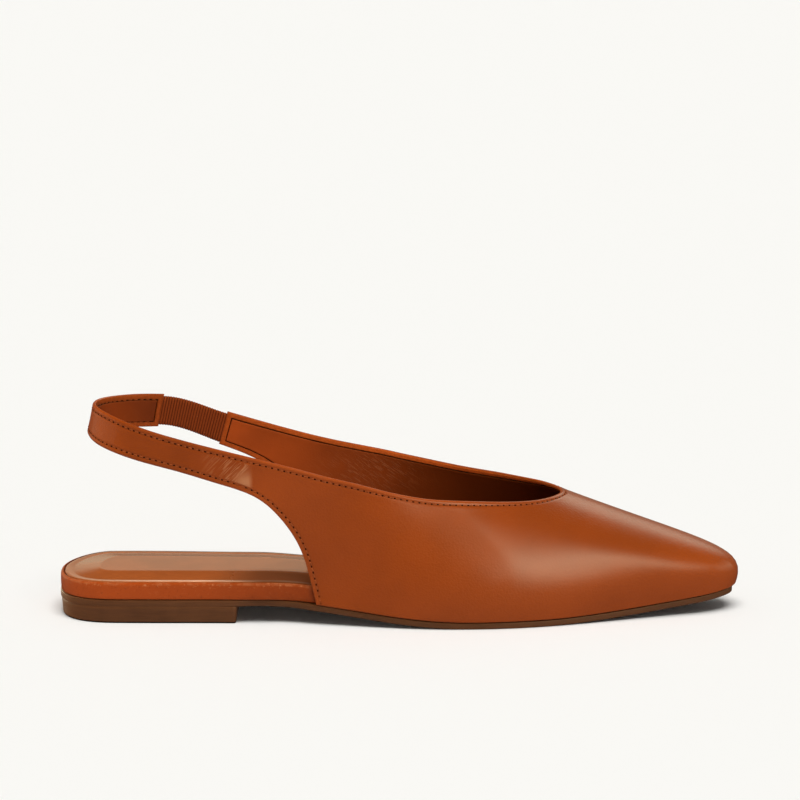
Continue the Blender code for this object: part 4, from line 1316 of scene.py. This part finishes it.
#    name          azim.  elev.  half w, h     roll  radiance  colour  across  up and down  shows on
CARDS = (
    ('key',          47.3,  24.6, 18.0, 25.0, -26.0, 11.4, WARM, KEY_FADE, 0.25, 'shoe'),
    ('halo',         15.9,  27.0,  9.0, 17.0, -26.0,  3.1, WARM, HALO_FADE, 0.30, 'shoe'),
    ('side',         95.0,  16.0, 24.0, 15.0,   0.0,  1.8, WARM, EVEN, 0.40, 'shoe'),
    ('front_top',    -6.0,  46.0, 28.0, 16.0,   0.0,  0.7, WARM, EVEN, 0.40, 'shoe'),
    ('rim',         146.0,  38.0, 18.0, 20.0,   0.0,  3.2, PALE, RIM_FADE, 0.40, 'shoe'),
    ('low_back',    180.0,   7.0, 36.0,  9.0,   0.0,  0.25, WARM, EVEN, 0.45, 'shoe'),
    ('seat',        180.0,   9.0, 30.0,  8.0,   0.0,  0.85, WARM, EVEN, 0.45, 'seat'),
    ('heel_side',   -98.0,   8.0, 32.0, 16.0,   0.0,  0.7, WARM, EVEN, 0.40, 'shoe'),
    ('rand_back',  -126.0,   6.0, 16.0, 16.0,   0.0,  1.5, WARM, EVEN, 0.45, 'seat'),
    ('base_back',  -150.0,   6.0, 26.0, 16.0,   0.0,  6.8, WARM, EVEN, 0.45, 'base'),
)


def softbox(name, azimuth, elevation, half_w, half_h, roll, radiance, colour, across, spread, shows,
            distance=1.6, target=(0.02, 0.0, 0.03)):
    """Card that shows only as a reflection."""
    way = from_way(azimuth, elevation)
    light = bpy.data.lights.new(name, 'AREA')
    light.shape = 'RECTANGLE'
    light.size, light.size_y = (2 * distance * math.tan(math.radians(q)) for q in (half_w, half_h))
    light.energy = radiance * math.pi * light.size * light.size_y
    light.color = colour
    light.use_nodes = True
    n = Nodes(light.node_tree)
    place = n.new('ShaderNodeSeparateXYZ', Vector=n.new('ShaderNodeNewGeometry').outputs['Parametric'])
    ramp = n.new('ShaderNodeValToRGB', Fac=place.outputs[0])
    stops = ramp.color_ramp.elements
    for k, (at, value) in enumerate(across):
        stop = stops[k] if k < 2 else stops.new(at)
        stop.position, stop.color = at, (value, value, value, 1.0)
    off = n.math('DIVIDE', n.math('SUBTRACT', place.outputs[1], 0.5), spread)
    bell = n.math('EXPONENT', n.math('MULTIPLY', n.math('MULTIPLY', off, off), -1.0))
    glow = light.node_tree.nodes['Emission']
    n.to(glow.inputs['Strength'], n.math('MULTIPLY', ramp.outputs['Color'], bell))
    obj = bpy.data.objects.new(name, light)
    obj.location = Vector(target) + way * distance
    turn = (-way).to_track_quat('-Z', 'Y') @ Quaternion((0.0, 0.0, 1.0), math.radians(roll))
    obj.rotation_euler = turn.to_euler()
    obj.visible_diffuse = False
    obj.visible_camera = False
    bpy.context.scene.collection.objects.link(obj)
    obj.light_linking.receiver_collection = groups[shows]


def build_camera():
    data = bpy.data.cameras.new('camera')
    data.lens, data.sensor_width = 137.54, 36.0
    data.clip_end = 200.0
    cam = bpy.data.objects.new('camera', data)
    cam.location = (0.0, -1.1668, 0.2889)
    cam.rotation_euler = (math.radians(79.955), 0.0, 0.0)
    bpy.context.scene.collection.objects.link(cam)
    bpy.context.scene.camera = cam


upper, face, face_normal, edge_dist, outer_rows = build_upper()
build_stitches(upper, face, face_normal, edge_dist, outer_rows)
build_gore()
build_insole()
build_outsole()
build_heel()
# Each piece is in one group only, and a light for the whole shoe is made once for each of its groups.
GROUP_OF = {'footbed': 'seat', 'sole_sheet': 'base', 'heel_block': 'base'}
SHOE = ('top', 'seat', 'base')
groups = {name: bpy.data.collections.new(name) for name in SHOE + ('floor',)}
for piece in [o for o in bpy.context.scene.objects if o.type == 'MESH']:
    groups[GROUP_OF.get(piece.name, 'top')].objects.link(piece)
build_floor()
groups['floor'].objects.link(bpy.data.objects['floor'])
build_world()
for lamp in LAMPS:
    for group in SHOE if lamp[5] == 'shoe' else (lamp[5],):
        build_lamp(*lamp[:5], group, *lamp[6:])
for card in CARDS:
    for group in SHOE if card[10] == 'shoe' else (card[10],):
        softbox(*card[:10], group)
build_camera()

scene = bpy.context.scene
scene.view_settings.view_transform = 'Standard'
scene.view_settings.look = 'None'
scene.view_settings.exposure = 0.0
scene.view_settings.gamma = 1.0
